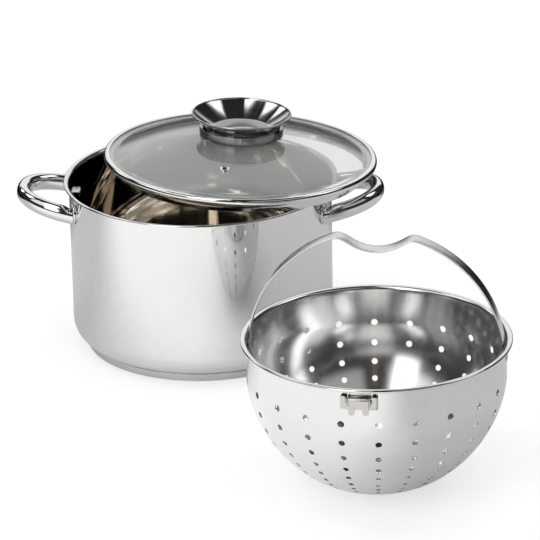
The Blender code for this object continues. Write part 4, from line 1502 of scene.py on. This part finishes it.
    def wrap(self) -> Socket:
        """Where a cell's point lies on the bowl.

        Returns:
            The result.
        """
        nodes = self.nodes
        row = self.named("row")
        share = self.named("share")
        turn = nodes.math("MULTIPLY", self.named("turn"), 2 * math.pi)
        cosine = nodes.math("COSINE", turn)
        sine = nodes.math("SINE", turn)
        longest = nodes.math("MAXIMUM", nodes.math("ABSOLUTE", cosine),
                             nodes.math("ABSOLUTE", sine))
        border_x = nodes.math("DIVIDE", cosine, longest)
        border_y = nodes.math("DIVIDE", sine, longest)
        step = nodes.math("DIVIDE", 2 * math.pi, self.source["Columns"])
        middle = self.row_distance(row)
        shrink = nodes.math("POWER", self.source["Hole Ratio"], row)
        hole = nodes.math("MULTIPLY", nodes.math("MULTIPLY", self.source["Hole Diameter"], 0.5),
                          shrink)
        hole_down = nodes.math("MULTIPLY_ADD", hole, sine, middle)
        edge_row = nodes.math("MULTIPLY_ADD", border_y, 0.5, row)
        edge_down = self.row_distance(edge_row)
        distance = nodes.math("MULTIPLY_ADD", nodes.math("SUBTRACT", edge_down, hole_down),
                              share, hole_down)
        radius, height = self.curve_point(distance)
        hole_side = nodes.math("DIVIDE", nodes.math("MULTIPLY", hole, cosine), radius)
        edge_side = nodes.math("MULTIPLY", nodes.math("MULTIPLY", border_x, 0.5), step)
        side = nodes.math("MULTIPLY_ADD", nodes.math("SUBTRACT", edge_side, hole_side), share,
                          hole_side)
        azimuth = nodes.math("MULTIPLY_ADD", self.named("column"), step, side)
        return nodes.vector(nodes.math("MULTIPLY", radius, nodes.math("COSINE", azimuth)),
                            nodes.math("MULTIPLY", radius, nodes.math("SINE", azimuth)), height)

    def make(self, values: dict[str, float]) -> Mesh:
        """Run the tree.

        Args:
            values: sizes by input name.

        Returns:
            The open perforated band as a plain mesh.
        """
        holder = linked("band", bpy.data.meshes.new("band"))
        modifier = holder.modifiers.new("perforate", "NODES")
        modifier.node_group = self.tree
        for name, value in values.items():
            modifier[self.identifiers[name]] = value
        mesh = plain_mesh(holder)
        bpy.data.objects.remove(holder, do_unlink=True)
        return mesh


@dataclass
class Strainer:
    """The perforated bowl with the rivets of its bail and the clip under its rim."""

    finishes: Finishes
    holes: Perforation = field(default_factory=Perforation)
    x: float = 0.1515
    y: float = -0.3171
    yaw: float = math.radians(-9.2)
    radius: float = 0.1102
    height: float = 0.1312
    wall: float = 0.0007
    rim_flare: float = 0.0050
    rim_bead: float = 0.0015
    curve_height: float = 0.0975
    foot: float = 0.0240
    exponent: float = 1.77
    foot_edge: float = 0.0015
    foot_steps: float = 0.0015
    pivot_below_rim: float = 0.0132
    bail_width: float = 0.0145
    bail_thickness: float = 0.0016
    dip_radius: float = 0.036
    dip_below: float = 0.0164
    dip_blend: float = 0.0045
    pivot_washer: float = 0.0009
    pivot_washer_radius: float = 0.0060
    rivet_radius: float = 0.0022
    rivet_head: float = 0.0045
    rivet_head_height: float = 0.0013
    play: float = 0.0003
    clip_width: float = 0.0312
    clip_height: float = 0.0111
    clip_below_rim: float = 0.0067
    clip_sheet: float = 0.0010
    clip_stand: float = 0.0026
    clip_corner: float = 0.0014
    clip_bend: float = 0.0014
    clip_notch_play: float = 0.0006
    ear_below_rim: float = 0.0067
    ear_height: float = 0.0078
    pin_below_rim: float = 0.0096
    pin_radius: float = 0.0009
    pin_head: float = 0.0015
    hook_width: float = 0.0168
    hook_sheet: float = 0.0010
    hook_clearance: float = 0.0011
    hook_length: float = 0.0126
    hook_leg: float = 0.0051
    hook_arch_rise: float = 0.0088

    def __post_init__(self) -> None:
        """Work out what follows from the other sizes."""
        self.place = (Matrix.Translation((self.x, self.y, 0.0))
                      @ Matrix.Rotation(self.yaw, 4, "Z"))
        self.band_top = self.curve_height - self.holes.distance(-0.5)
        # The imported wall's faces, in the middle of a facet
        facet = math.cos(math.pi / (2 * self.holes.columns))
        self.wall_flat_out = self.radius * facet
        self.wall_flat_in = (self.radius - self.wall) * facet
        # The bail's axis, its outer faces at its legs, and its arch
        self.pivot_height = self.height - self.pivot_below_rim
        self.bail_face = self.wall_flat_in - 2 * GAP - self.pivot_washer
        self.bail_arch = self.wall_flat_in - GAP
        # The hook's rolled knuckle, the bracket's outer face and the pin
        self.knuckle_bore = self.pin_radius + self.play
        self.knuckle_radius = self.knuckle_bore + self.hook_sheet
        self.clip_face = self.radius + GAP + self.clip_stand + self.clip_sheet
        self.pin_out = self.clip_face + self.hook_clearance + self.hook_sheet - self.knuckle_radius
        self.pin_tip = self.hook_width / 2 + GAP + self.clip_sheet + GAP + self.clip_sheet / 2
        self.pin_height = self.height - self.pin_below_rim
        self.pin_place = Matrix.Translation((0, -self.pin_out, self.pin_height))

    def build(self) -> None:
        """Make the bowl, its rivets, washers, clip, bail and hook."""
        satin = (self.finishes.satin, Body.STRAINER, Slot.SATIN)
        clip = (self.finishes.clip, Body.STRAINER, Slot.SATIN)
        dress("strainer_bowl", self.bowl(), self.place, self.finishes.polished, Body.STRAINER,
              Slot.POLISHED)
        axis = Vector((0, 0, self.pivot_height))
        for side, sign in (("right", 1.0), ("left", -1.0)):
            out = Vector((sign, 0.0, 0.0))
            for node, mesh, face in (("pivot_rivet", self.rivet(), self.wall_flat_out),
                                     ("pivot_washer", self.washer(), self.bail_face)):
                seat = along(out, out * (face + GAP) + axis)
                dress(f"{node}_{side}", mesh, self.place @ seat, *satin)
        dress("clip_bracket", self.bracket(), self.place, *clip)
        dress("clip_pin", self.pin(), self.place @ self.pin_place @ ACROSS, *clip)
        dress("bail_strip", self.bail(), self.place @ Matrix.Translation(axis),
              self.finishes.strip, Body.BAIL, Slot.SATIN)
        dress("clip_hook", self.hook(), self.place @ self.pin_place, self.finishes.clip,
              Body.HOOK, Slot.SATIN)

    def curve(self) -> list[Vector]:
        """The bowl's outer curve from the straight wall to the foot.

        Returns:
            Its points.
        """
        power = 2.0 / self.exponent
        points = []
        for step in range(601):
            angle = math.pi / 2 * step / 600
            across = max(math.cos(angle), 0.0) ** power
            down = math.sin(angle) ** power
            points.append(Vector((self.foot + (self.radius - self.foot) * across,
                                  self.curve_height * (1.0 - down))))
        return points

    def rim_path(self) -> Profile:
        """The outer face of the sheet from the curl's end over the flare to the first cell.

        Returns:
            Points from above.
        """
        roll = self.rim_bead - self.wall
        centre = (self.radius + self.rim_flare - self.rim_bead, self.height - self.rim_bead)
        curl = arc(centre, roll, -170, 90, 22)
        bend = self.rim_flare - 2 * self.rim_bead + 0.0003
        flare = arc((self.radius + bend, centre[1] + roll - bend), bend, 90, 180, 8)
        start = flare[-1][1]
        straight = [(self.radius, start + (self.band_top - start) * step / 8)
                    for step in range(1, 9)]
        return curl + flare + straight

    def foot_path(self) -> Profile:
        """The outer face from the last cell's border over the foot's bend to the middle.

        Returns:
            Points from above.
        """
        left = self.holes.distance(self.holes.rows - 0.5)
        curve = self.curve()
        points: Profile = []
        for point, travelled in zip(curve, distances(curve)):
            if travelled > left + self.foot_steps * (len(points) + 1):
                points.append(tuple(point))
        bend = [(r, z) for r, z in points if z > 0.0006]
        foot_bend = [(self.foot - 0.0006, 0.00008), (self.foot - 0.0016, 0.0)]
        rings = [(self.foot * share, 0.0) for share in (0.8, 0.55, 0.3, 0.1)]
        return bend + foot_bend + rings

    def bowl(self) -> Mesh:
        """The pressed and perforated bowl with its curled rim, as thick as its sheet.

        Returns:
            A closed mesh, its inside marked.
        """
        holes = self.holes
        band = PerforatedBand(holes, self.finishes.polished).make({
            "Bowl Radius": self.radius, "Foot Radius": self.foot,
            "Curve Height": self.curve_height, "Exponent": self.exponent,
            "Pitch": holes.pitch, "Pitch Ratio": holes.pitch_ratio,
            "Hole Diameter": holes.diameter, "Hole Ratio": holes.diameter_ratio,
            "Columns": holes.columns, "Rows": holes.rows})
        shape = bmesh.new()
        shape.from_mesh(band)
        bmesh.ops.remove_doubles(shape, verts=shape.verts, dist=WELD)
        self.add_rings(shape, self.rim_path()[::-1][1:], upper=True)
        self.add_rings(shape, self.foot_path(), upper=False)
        bmesh.ops.recalc_face_normals(shape, faces=shape.faces)
        lowest = min(shape.faces, key=lambda face: face.calc_center_median().z)
        if lowest.normal.z > 0:
            bmesh.ops.reverse_faces(shape, faces=shape.faces)
        holder = linked("strainer_skin", finished(shape, "strainer_skin"))
        solid = holder.modifiers.new("sheet", "SOLIDIFY")
        solid.thickness = self.wall
        solid.offset = -1.0
        solid.use_even_offset = True
        mesh = plain_mesh(holder)
        bpy.data.objects.remove(holder, do_unlink=True)
        for name in ("row", "column", "turn", "share"):
            stored = mesh.attributes.get(name)
            if stored:
                mesh.attributes.remove(stored)
        self.unroll(mesh)
        mark_inside(mesh, self.radius - 2 * self.wall)
        self.shade(mesh)
        return mesh

    def add_rings(self, shape: bmesh.types.BMesh, path: Profile, upper: bool) -> None:
        """Carry the band's open border on along a profile.

        Args:
            shape: the mesh so far.
            path: points after the border.
            upper: whether the upper border is meant.
        """
        pairs = [edge.verts for edge in shape.edges if edge.is_boundary]
        level = self.band_top if upper else min(v.co.z for pair in pairs for v in pair)
        border = {v for pair in pairs if all(abs(v.co.z - level) < BORDER_PLAY for v in pair)
                  for v in pair}
        ring = sorted(border, key=lambda v: math.atan2(v.co.y, v.co.x))
        azimuths = [math.atan2(v.co.y, v.co.x) for v in ring]
        for radius, height in path:
            following = [shape.verts.new((radius * math.cos(a), radius * math.sin(a), height))
                         for a in azimuths]
            for index in range(len(ring)):
                after = (index + 1) % len(ring)
                shape.faces.new((ring[index], ring[after], following[after], following[index]))
            ring = following
        if not upper:
            pole = shape.verts.new((0.0, 0.0, path[-1][1]))
            for index in range(len(ring)):
                shape.faces.new((ring[index], ring[(index + 1) % len(ring)], pole))

    def unroll(self, mesh: Mesh) -> None:
        """Give the bowl a map, U round it and V down its wall, in metres.

        Args:
            mesh: the bowl.
        """
        for layer in list(mesh.uv_layers):
            mesh.uv_layers.remove(layer)
        layer = mesh.uv_layers.new(name=UV_NAME)
        for face in mesh.polygons:
            middle = math.atan2(face.center.y, face.center.x)
            for loop in face.loop_indices:
                point = mesh.vertices[mesh.loops[loop].vertex_index].co
                azimuth = math.atan2(point.y, point.x)
                azimuth += 2 * math.pi * round((middle - azimuth) / (2 * math.pi))
                down = -point.z - (self.radius - math.hypot(point.x, point.y))
                layer.data[loop].uv = (azimuth * self.radius, down)

    def shade(self, mesh: Mesh) -> None:
        """Set the bowl's shading normals from its curve, so that reflections run true.

        Args:
            mesh: the solid bowl. The holes' and the rim's own faces keep their normals.
        """
        curve = self.curve()
        falls = [-point.y for point in curve]
        top = self.height - self.rim_flare
        mesh.update()
        normals = [Vector(corner.vector) for corner in mesh.corner_normals]
        for face in mesh.polygons:
            for loop in face.loop_indices:
                point = mesh.vertices[mesh.loops[loop].vertex_index].co
                if not self.foot_edge <= point.z <= top:
                    continue
                run = Vector((0.0, -1.0))
                if point.z < self.curve_height:
                    run = heading(curve, min(bisect_left(falls, -point.z), len(curve) - 1))
                around = point.xy.normalized()
                exact = Vector((-run.y * around.x, -run.y * around.y, run.x))
                facing = exact.dot(face.normal)
                if abs(facing) > TRUE_TO_CURVE:
                    normals[loop] = exact * math.copysign(1.0, facing)
                else:
                    normals[loop] = face.normal.copy()
        mesh.normals_split_custom_set(normals)

    def rivet(self) -> Mesh:
        """A domed rivet, its inner end pressed over.

        Returns:
            The mesh, in its own frame.
        """
        grip = self.wall_flat_out + 2 * GAP - self.bail_face + self.bail_thickness
        dome = self.rivet_head_height
        head = self.rivet_head
        crown = arc((0.0, 0.0), 1.0, 90, 8, 12)
        outer = [(head * r, dome * z) for r, z in crown]
        shank = [(head, 0.0), (self.rivet_radius, 0.0), (self.rivet_radius, -grip), (head, -grip)]
        inner = [(head * 0.8, -grip - dome * 0.7), (head * 0.3, -grip - dome * 0.8),
                 (0.0, -grip - dome * 0.8)]
        outline = outer + rounded(shank + inner, 0.0003, closed=False)
        return turned("pivot_rivet", outline, False, SMALL_STEPS)

    def washer(self) -> Mesh:
        """The thin washer between the bail and the wall.

        Returns:
            The mesh, in its own frame.
        """
        bore = self.rivet_radius + self.play
        radius = self.pivot_washer_radius
        top = self.pivot_washer
        outline = [(bore, top), (radius, top), (radius, 0.0), (bore, 0.0)]
        return turned("pivot_washer", rounded(outline, 0.0002), True, SMALL_STEPS)

    def pin(self) -> Mesh:
        """The hook's pin with a small head at each end.

        Returns:
            The mesh, in its own frame.
        """
        tip = self.pin_tip
        half = tip - self.clip_sheet / 2
        outline = [(0.0, tip), (self.pin_head, tip), (self.pin_head, half),
                   (self.pin_radius, half), (self.pin_radius, -half), (self.pin_head, -half),
                   (self.pin_head, -tip), (0.0, -tip)]
        return turned("clip_pin", rounded(outline, 0.0002, closed=False), False, SMALL_STEPS)

    def bracket(self) -> Mesh:
        """The channel under the rim, open above the hook's knuckle, with an ear on each side.

        Returns:
            Strap and ears in one mesh, drilled for the pin.
        """
        tall = self.clip_height / 2
        middle = self.height - self.clip_below_rim - tall
        path = self.bracket_path()
        lengths = distances(path)
        half = lengths[-1] / 2
        notch = self.pin_tip + GAP
        floor = self.pin_height - self.knuckle_radius - self.clip_notch_play - middle
        corners = [(-half, -tall), (half, -tall), (half, tall), (notch, tall), (notch, floor),
                   (-notch, floor), (-notch, tall), (-half, tall)]
        strap = plate("clip_bracket", rounded(corners, self.clip_corner, steps=6),
                      self.clip_sheet, 0.00025)
        self.slice(strap, [length - half for length in lengths[1:-1]])
        self.bend(strap, path, lengths, middle)
        for sign in (1.0, -1.0):
            strap = carved(strap, self.ear(sign), "UNION")
        hole = rod(self.knuckle_bore, 2 * self.pin_tip, self.pin_place @ ACROSS, 32)
        strap = carved(strap, hole, "DIFFERENCE")
        return creased(strap, PLATE_CREASE)

    def ear(self, sign: float) -> Mesh:
        """One of the bracket's two ears.

        Args:
            sign: 1 for the right one and -1 for the left one.

        Returns:
            The ear in its place.
        """
        top = self.height - self.ear_below_rim
        nose = self.knuckle_radius
        profile = [(0.0, 0.0), (nose, 0.0)] + arc((nose, -nose), nose, 90, 0, 8)[1:]
        profile += [(2 * nose, self.pin_height - top - nose), (nose, -self.ear_height),
                    (0.0, -self.ear_height)]
        ear = plate("ear", rounded(profile[::-1], 0.0004), self.clip_sheet, 0.0002)
        side = sign * (self.hook_width / 2 + GAP + self.clip_sheet / 2)
        ear.transform(Matrix.Translation((side, nose - self.pin_out, top - GAP))
                      @ Matrix(((0, 0, -1, 0), (-1, 0, 0, 0), (0, 1, 0, 0), (0, 0, 0, 1))))
        return ear

    def bracket_path(self) -> list[Vector]:
        """Middle of the bracket's sheet from above, as (side, out), from its left foot.

        Returns:
            Its points.
        """
        half = (self.clip_width - self.clip_sheet) / 2
        radius = self.clip_face - self.clip_sheet / 2
        steepest = math.asin(half / radius)
        turns = [steepest * (step / 6 - 1) for step in range(13)]
        front = [(radius * math.sin(turn), radius * math.cos(turn)) for turn in turns]
        foot = math.sqrt((self.radius + GAP) ** 2 - half ** 2)
        line = [(-half, foot)] + front + [(half, foot)]
        return [Vector(point) for point in rounded(line, self.clip_bend, closed=False, steps=6)]

    @staticmethod
    def slice(mesh: Mesh, places: Sequence[float]) -> None:
        """Cut a flat strip's faces across its length at some places, so that it can bend.

        Args:
            mesh: the strip.
            places: of the cuts, along x.
        """
        shape = bmesh.new()
        shape.from_mesh(mesh)
        for side in places:
            geometry = shape.verts[:] + shape.edges[:] + shape.faces[:]
            bmesh.ops.bisect_plane(shape, geom=geometry, plane_co=(side, 0, 0), plane_no=(1, 0, 0))
        shape.to_mesh(mesh)
        shape.free()

    @staticmethod
    def bend(mesh: Mesh, path: list[Vector], lengths: list[float], height: float) -> None:
        """Bend a flat strip along a path that is seen from above.

        Args:
            mesh: the strip, long in x and centred, its faces in z.
            path: (side, out) points.
            lengths: how far along the path each of them lies.
            height: of the strip's middle.
        """
        runs = [heading(path, index) for index in range(len(path))]
        for vertex in mesh.vertices:
            along_strip, up, depth = vertex.co
            travelled = min(max(along_strip + lengths[-1] / 2, 0.0), lengths[-1])
            index = min(bisect_right(lengths, travelled), len(path) - 1)
            share = (travelled - lengths[index - 1]) / (lengths[index] - lengths[index - 1])
            point = path[index - 1].lerp(path[index], share)
            run = runs[index - 1].lerp(runs[index], share).normalized()
            vertex.co = (point.x - run.y * depth, -point.y - run.x * depth, height + up)

    def bail_height(self, side: float) -> float:
        """Height of the bail's outer face above the pivots, at a distance from the middle.

        Args:
            side: distance from the middle.

        Returns:
            The height.
        """
        arch = math.sqrt(self.bail_arch ** 2 - side ** 2)
        if abs(side) >= self.dip_radius * 0.97:
            return arch
        dip_floor = self.bail_arch - self.dip_below
        dip = dip_floor + self.dip_radius - math.sqrt(self.dip_radius ** 2 - side ** 2)
        low = min(arch, dip)
        high = max(arch, dip)
        return low - self.dip_blend * math.log(1.0 + math.exp((low - high) / self.dip_blend))

    def bail_path(self) -> list[Vector]:
        """Outer face of the bail from its right end over the arch to its left end.

        Returns:
            Its points.
        """
        leg_top = math.sqrt(self.bail_arch ** 2 - self.bail_face ** 2)
        steepest = math.asin(self.bail_face / self.bail_arch)
        steps = 110
        half = []
        for step in range(steps):
            side = self.bail_arch * math.sin(steepest * step / steps)
            half.append(Vector((side, self.bail_height(side))))
        low = -self.bail_width / 2
        tip = self.bail_width / 2
        half += [Vector((self.bail_face, leg_top * (1 - step / 4))) for step in range(5)]
        for step in range(1, 15):
            angle = math.pi / 2 * step / 14
            half.append(Vector((self.bail_face, low + tip * (1 - math.sin(angle)))))
        return half[:0:-1] + [Vector((-point.x, point.y)) for point in half]

    def bail(self) -> Mesh:
        """A bent strip with soft edges and round ends, drilled for the two rivets.

        Returns:
            The strip, its origin on the rivets' axis.
        """
        path = self.bail_path()
        lengths = distances(path)
        tip = self.bail_width / 2
        corner = 0.0004
        sections = []
        for index, point in enumerate(path):
            tangent = heading(path, index)
            past = max(tip - min(lengths[index], lengths[-1] - lengths[index]), 0.0)
            half = max(math.sqrt(max(tip ** 2 - past ** 2, 0.0)), corner * 1.2)
            outline = rounded([(-half, 0.0), (half, 0.0), (half, self.bail_thickness),
                               (-half, self.bail_thickness)], corner, steps=3)
            sections.append([Vector((point.x - tangent.y * depth, across,
                                     point.y + tangent.x * depth)) for across, depth in outline])
        mesh = lofted("bail_strip", sections, lengths)
        hole = rod(self.rivet_radius + self.play, 3 * self.bail_arch, ACROSS)
        mesh = carved(mesh, hole, "DIFFERENCE")
        return creased(mesh, CREASE)

    def hook_outline(self) -> Profile:
        """The hook's flat blade: two round-ended legs with an arch between them.

        Returns:
            Its points.
        """
        half = self.hook_width / 2
        leg = self.hook_leg / 2
        tip = -self.hook_length + leg
        gap = half - self.hook_leg
        arch = -self.hook_length + self.hook_arch_rise - gap
        left_tip = arc((-half + leg, tip), leg, 180, 360, 16)
        opening = arc((0.0, arch), gap, 180, 0, 24)
        right_tip = arc((half - leg, tip), leg, 180, 360, 16)
        return [(-half, 0.0)] + left_tip + opening + right_tip + [(half, 0.0)]

    def hook(self) -> Mesh:
        """A blade hanging from a rolled knuckle.

        Returns:
            The hook, its origin on the pin's axis.
        """
        blade = plate("clip_hook", self.hook_outline(), self.hook_sheet, 0.0002)
        blade.transform(Matrix.Translation((0, self.hook_sheet / 2 - self.knuckle_radius, 0))
                        @ UPRIGHT)
        half = self.hook_width / 2
        radius = self.knuckle_radius
        roll = turned("knuckle", rounded([(0.0, half), (radius, half), (radius, -half),
                                          (0.0, -half)], 0.0002, closed=False), False, 48)
        roll.transform(ACROSS)
        mesh = carved(blade, roll, "UNION")
        mesh = carved(mesh, rod(self.knuckle_bore, 2 * self.hook_width, ACROSS, 40), "DIFFERENCE")
        return creased(mesh, PLATE_CREASE)


# Studio

@dataclass
class Lamp:
    """A soft rectangular lamp that shines at a point."""

    name: str
    azimuth: float
    elevation: float
    distance: float
    width: float
    height: float
    radiance: float


@dataclass(frozen=True)
class Card:
    """A soft-edged light or dark card that polished steel sees, in degrees from the front."""

    azimuth: float
    elevation: float
    width: float
    height: float
    colour: Triple
    softness: float = 3.0

    def mask(self, nodes: Nodes, azimuth: Socket, elevation: Socket) -> Socket:
        """Where the card stands.

        Args:
            nodes: the tree.
            azimuth: of the ray, in degrees.
            elevation: of the ray, in degrees.

        Returns:
            1 on the card and 0 off it.
        """
        side = nodes.math("WRAP", nodes.math("SUBTRACT", azimuth, self.azimuth), 180.0, -180.0)
        up = nodes.math("SUBTRACT", elevation, self.elevation)
        shares = []
        for distance, size in ((side, self.width), (up, self.height)):
            half = size / 2
            shares.append(nodes.ramp(nodes.math("ABSOLUTE", distance), half + self.softness,
                                     half - self.softness, 0.0, 1.0))
        return nodes.math("MULTIPLY", shares[0], shares[1])


def grey(level: float) -> Triple:
    """A card's neutral colour."""
    return (level, level, level)


@dataclass
class Studio:
    """A white floor and surroundings with soft lamps, and the camera."""

    target: Triple = (0.06, -0.12, 0.10)
    camera_place: Triple = (0.06297, -3.09237, 1.31096)
    pitch: float = 21.95
    roll: float = 1.01
    lens: float = 238.49
    sensor: float = 36.0
    floor_size: float = 12.0
    floor_albedo: float = 0.42
    floor_glow: float = 0.61
    floor_grain: float = 40.0
    # The floor as seen in reflections: an even grey level, a painted pool of light to the front
    # left, and painted shade far behind.
    floor_gloss: float = 0.60
    floor_painted_pool: float = 0.46
    floor_painted_shade_from: float = 0.20
    floor_painted_shade_to: float = 0.38
    floor_painted_shade_share: float = 0.07
    ambient: float = 0.80
    lamps: tuple[Lamp, ...] = (
        Lamp("front_left_box", -33.0, 30.0, 2.2, 0.75, 1.5, 3.2),
        Lamp("left_box", -100.0, 56.0, 1.6, 0.55, 0.8, 3.0),
        Lamp("top_right_box", 108.0, 72.0, 1.5, 0.35, 0.5, 3.0),
        Lamp("right_box", 120.0, 42.0, 1.8, 0.6, 0.8, 2.6),
    )
    room_colour: Triple = (0.026, 0.026, 0.028)
    cards: tuple[Card, ...] = (
        Card(180.0, 34.0, 60.0, 52.0, grey(1.0), 5.0),
        Card(-50.0, 46.0, 66.0, 38.0, grey(1.0), 4.0),
        Card(40.0, 41.0, 56.0, 26.0, grey(0.4), 4.0),
        Card(-32.0, 32.0, 24.0, 40.0, grey(2.2), 2.0),
        Card(-108.0, 50.0, 28.0, 20.0, grey(2.2), 2.0),
        Card(101.0, 47.0, 28.0, 24.0, grey(2.2), 2.0),
        Card(-37.0, 74.0, 58.0, 20.0, grey(2.2), 2.0),
        Card(-133.0, 30.0, 14.0, 16.0, grey(2.0), 2.0),
        Card(96.0, 24.0, 4.0, 12.0, (0.20, 0.14, 0.09), 1.5),
        Card(109.0, 22.0, 3.0, 12.0, (0.08, 0.14, 0.19), 1.0),
        Card(0.0, 24.0, 4.0, 40.0, (0.22, 0.17, 0.12), 1.5),
    )

    def build(self) -> None:
        """Make the floor, the world, the lamps and the camera."""
        self.add_camera()
        self.add_floor()
        self.add_world()
        for lamp in self.lamps:
            self.add_lamp(lamp)
        bpy.context.scene.view_settings.view_transform = "Standard"

    def add_camera(self) -> None:
        """The camera at the photograph's angle."""
        data = bpy.data.cameras.new("camera")
        data.lens = self.lens
        data.sensor_width = self.sensor
        data.clip_end = 100.0
        camera = linked("camera", data)
        tilt = Matrix.Rotation(math.radians(90.0 - self.pitch), 4, "X")
        roll = Matrix.Rotation(math.radians(-self.roll), 4, "Z")
        camera.matrix_world = Matrix.Translation(self.camera_place) @ tilt @ roll
        bpy.context.scene.camera = camera

    def add_lamp(self, lamp: Lamp) -> None:
        """One soft lamp, whose own reflection is one of the cards.

        Args:
            lamp: its place and size.
        """
        data = bpy.data.lights.new(lamp.name, "AREA")
        data.shape = "RECTANGLE"
        data.size = lamp.width
        data.size_y = lamp.height
        data.energy = lamp.radiance * math.pi * lamp.width * lamp.height
        azimuth = math.radians(lamp.azimuth)
        elevation = math.radians(lamp.elevation)
        away = Vector((math.sin(azimuth) * math.cos(elevation),
                       -math.cos(azimuth) * math.cos(elevation), math.sin(elevation)))
        item = linked(lamp.name, data)
        item.location = Vector(self.target) + away * lamp.distance
        item.rotation_mode = "QUATERNION"
        item.rotation_quaternion = away.to_track_quat("Z", "Y")
        item.visible_camera = False
        item.visible_glossy = False

    def add_floor(self) -> None:
        """A pale floor that reads white and keeps the shadow; in gloss it is greyer to the side,
        with a painted pool of light to the front left and painted shade far behind.
        """
        shape = bmesh.new()
        bmesh.ops.create_grid(shape, x_segments=1, y_segments=1, size=self.floor_size)
        floor = linked("floor", finished(shape, "floor"))
        material = bpy.data.materials.new("floor_paper")
        nodes = emptied(material)
        spot = nodes.add("ShaderNodeSeparateXYZ", None, {0: nodes.position()})
        # painted pool of light: in gloss the floor is made lighter to the left and to the front
        across = nodes.math("MULTIPLY_ADD", spot.outputs[1], 0.3, spot.outputs[0])
        left = nodes.ramp(across, 0.12, -0.10, 0.0, 1.0)
        front = nodes.ramp(spot.outputs[1], 0.02, -0.24, 0.0, 1.0)
        painted_pool_in_gloss = nodes.math("MULTIPLY_ADD", nodes.math("MULTIPLY", left, front),
                            self.floor_painted_pool, self.floor_gloss)
        # painted shade: in gloss the floor fades far behind the pieces
        painted_far_shade = nodes.ramp(spot.outputs[1], self.floor_painted_shade_from, self.floor_painted_shade_to, 1.0,
                          self.floor_painted_shade_share)
        painted_pool_in_gloss = nodes.math("MULTIPLY", painted_pool_in_gloss, painted_far_shade)
        path = nodes.add("ShaderNodeLightPath")
        grain = nodes.noise(nodes.position(), self.floor_grain)
        albedo = nodes.ramp(grain, 0.3, 0.7, self.floor_albedo - 0.01, self.floor_albedo + 0.01)
        surface = nodes.add("ShaderNodeBsdfDiffuse", None,
                            {"Color": nodes.vector(albedo, albedo, albedo)})
        reflected = nodes.math("GREATER_THAN", path.outputs["Glossy Depth"], 0.5)
        in_gloss = nodes.math("SUBTRACT", painted_pool_in_gloss, self.floor_albedo)
        glow = nodes.math("MULTIPLY_ADD", nodes.math("SUBTRACT", in_gloss, self.floor_glow),
                          reflected, self.floor_glow)
        seen = nodes.math("SUBTRACT", 1.0, path.outputs["Is Diffuse Ray"])
        light = nodes.add("ShaderNodeEmission", None,
                          {"Color": (1.0, 1.0, 1.0, 1.0),
                           "Strength": nodes.math("MULTIPLY", glow, seen)})
        total = nodes.add("ShaderNodeAddShader", None, {0: surface.outputs[0],
                                                        1: light.outputs[0]})
        nodes.add("ShaderNodeOutputMaterial", None, {"Surface": total.outputs[0]})
        floor.data.materials.append(material)

    def add_world(self) -> None:
        """White surroundings that polished steel sees as a dark room with pale cards."""
        world = bpy.data.worlds.new("studio")
        bpy.context.scene.world = world
        nodes = emptied(world)
        way = nodes.add("ShaderNodeTexCoord").outputs["Generated"]
        part = nodes.add("ShaderNodeSeparateXYZ", None, {0: way})
        azimuth = nodes.math("DEGREES", nodes.math(
            "ARCTAN2", part.outputs[0], nodes.math("MULTIPLY", part.outputs[1], -1.0)))
        elevation = nodes.math("DEGREES", nodes.math("ARCSINE", part.outputs[2]))
        seen = (*self.room_colour, 1.0)
        for card in self.cards:
            seen = nodes.blend(card.mask(nodes, azimuth, elevation), seen, (*card.colour, 1.0))
        path = nodes.add("ShaderNodeLightPath")
        reflected = nodes.math("GREATER_THAN", path.outputs["Glossy Depth"], 0.5)
        colour = nodes.blend(reflected, (1.0, 1.0, 1.0, 1.0), seen)
        diffuse = path.outputs["Is Diffuse Ray"]
        colour = nodes.blend(diffuse, colour, (self.ambient, self.ambient, self.ambient, 1.0))
        light = nodes.add("ShaderNodeBackground", None, {"Color": colour, "Strength": 1.0})
        nodes.add("ShaderNodeOutputWorld", None, {"Surface": light.outputs[0]})


def dress_hidden_nodes(finishes: Finishes) -> None:
    """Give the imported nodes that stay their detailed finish.

    Args:
        finishes: the shared materials.
    """
    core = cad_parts["base_core"]
    core.data.materials.clear()
    core.data.materials.append(finishes.core)
    LOG.info("base_core stays, inside the base cap")


def main() -> None:
    """Build the studio and every piece, in order."""
    logging.basicConfig(level=logging.INFO, format="%(name)s: %(message)s")
    Studio().build()
    finishes = Finishes()
    pot = Pot(finishes)
    pot.build()
    Lid(finishes, pot).build()
    Strainer(finishes).build()
    dress_hidden_nodes(finishes)


if __name__ == "__main__":
    main()
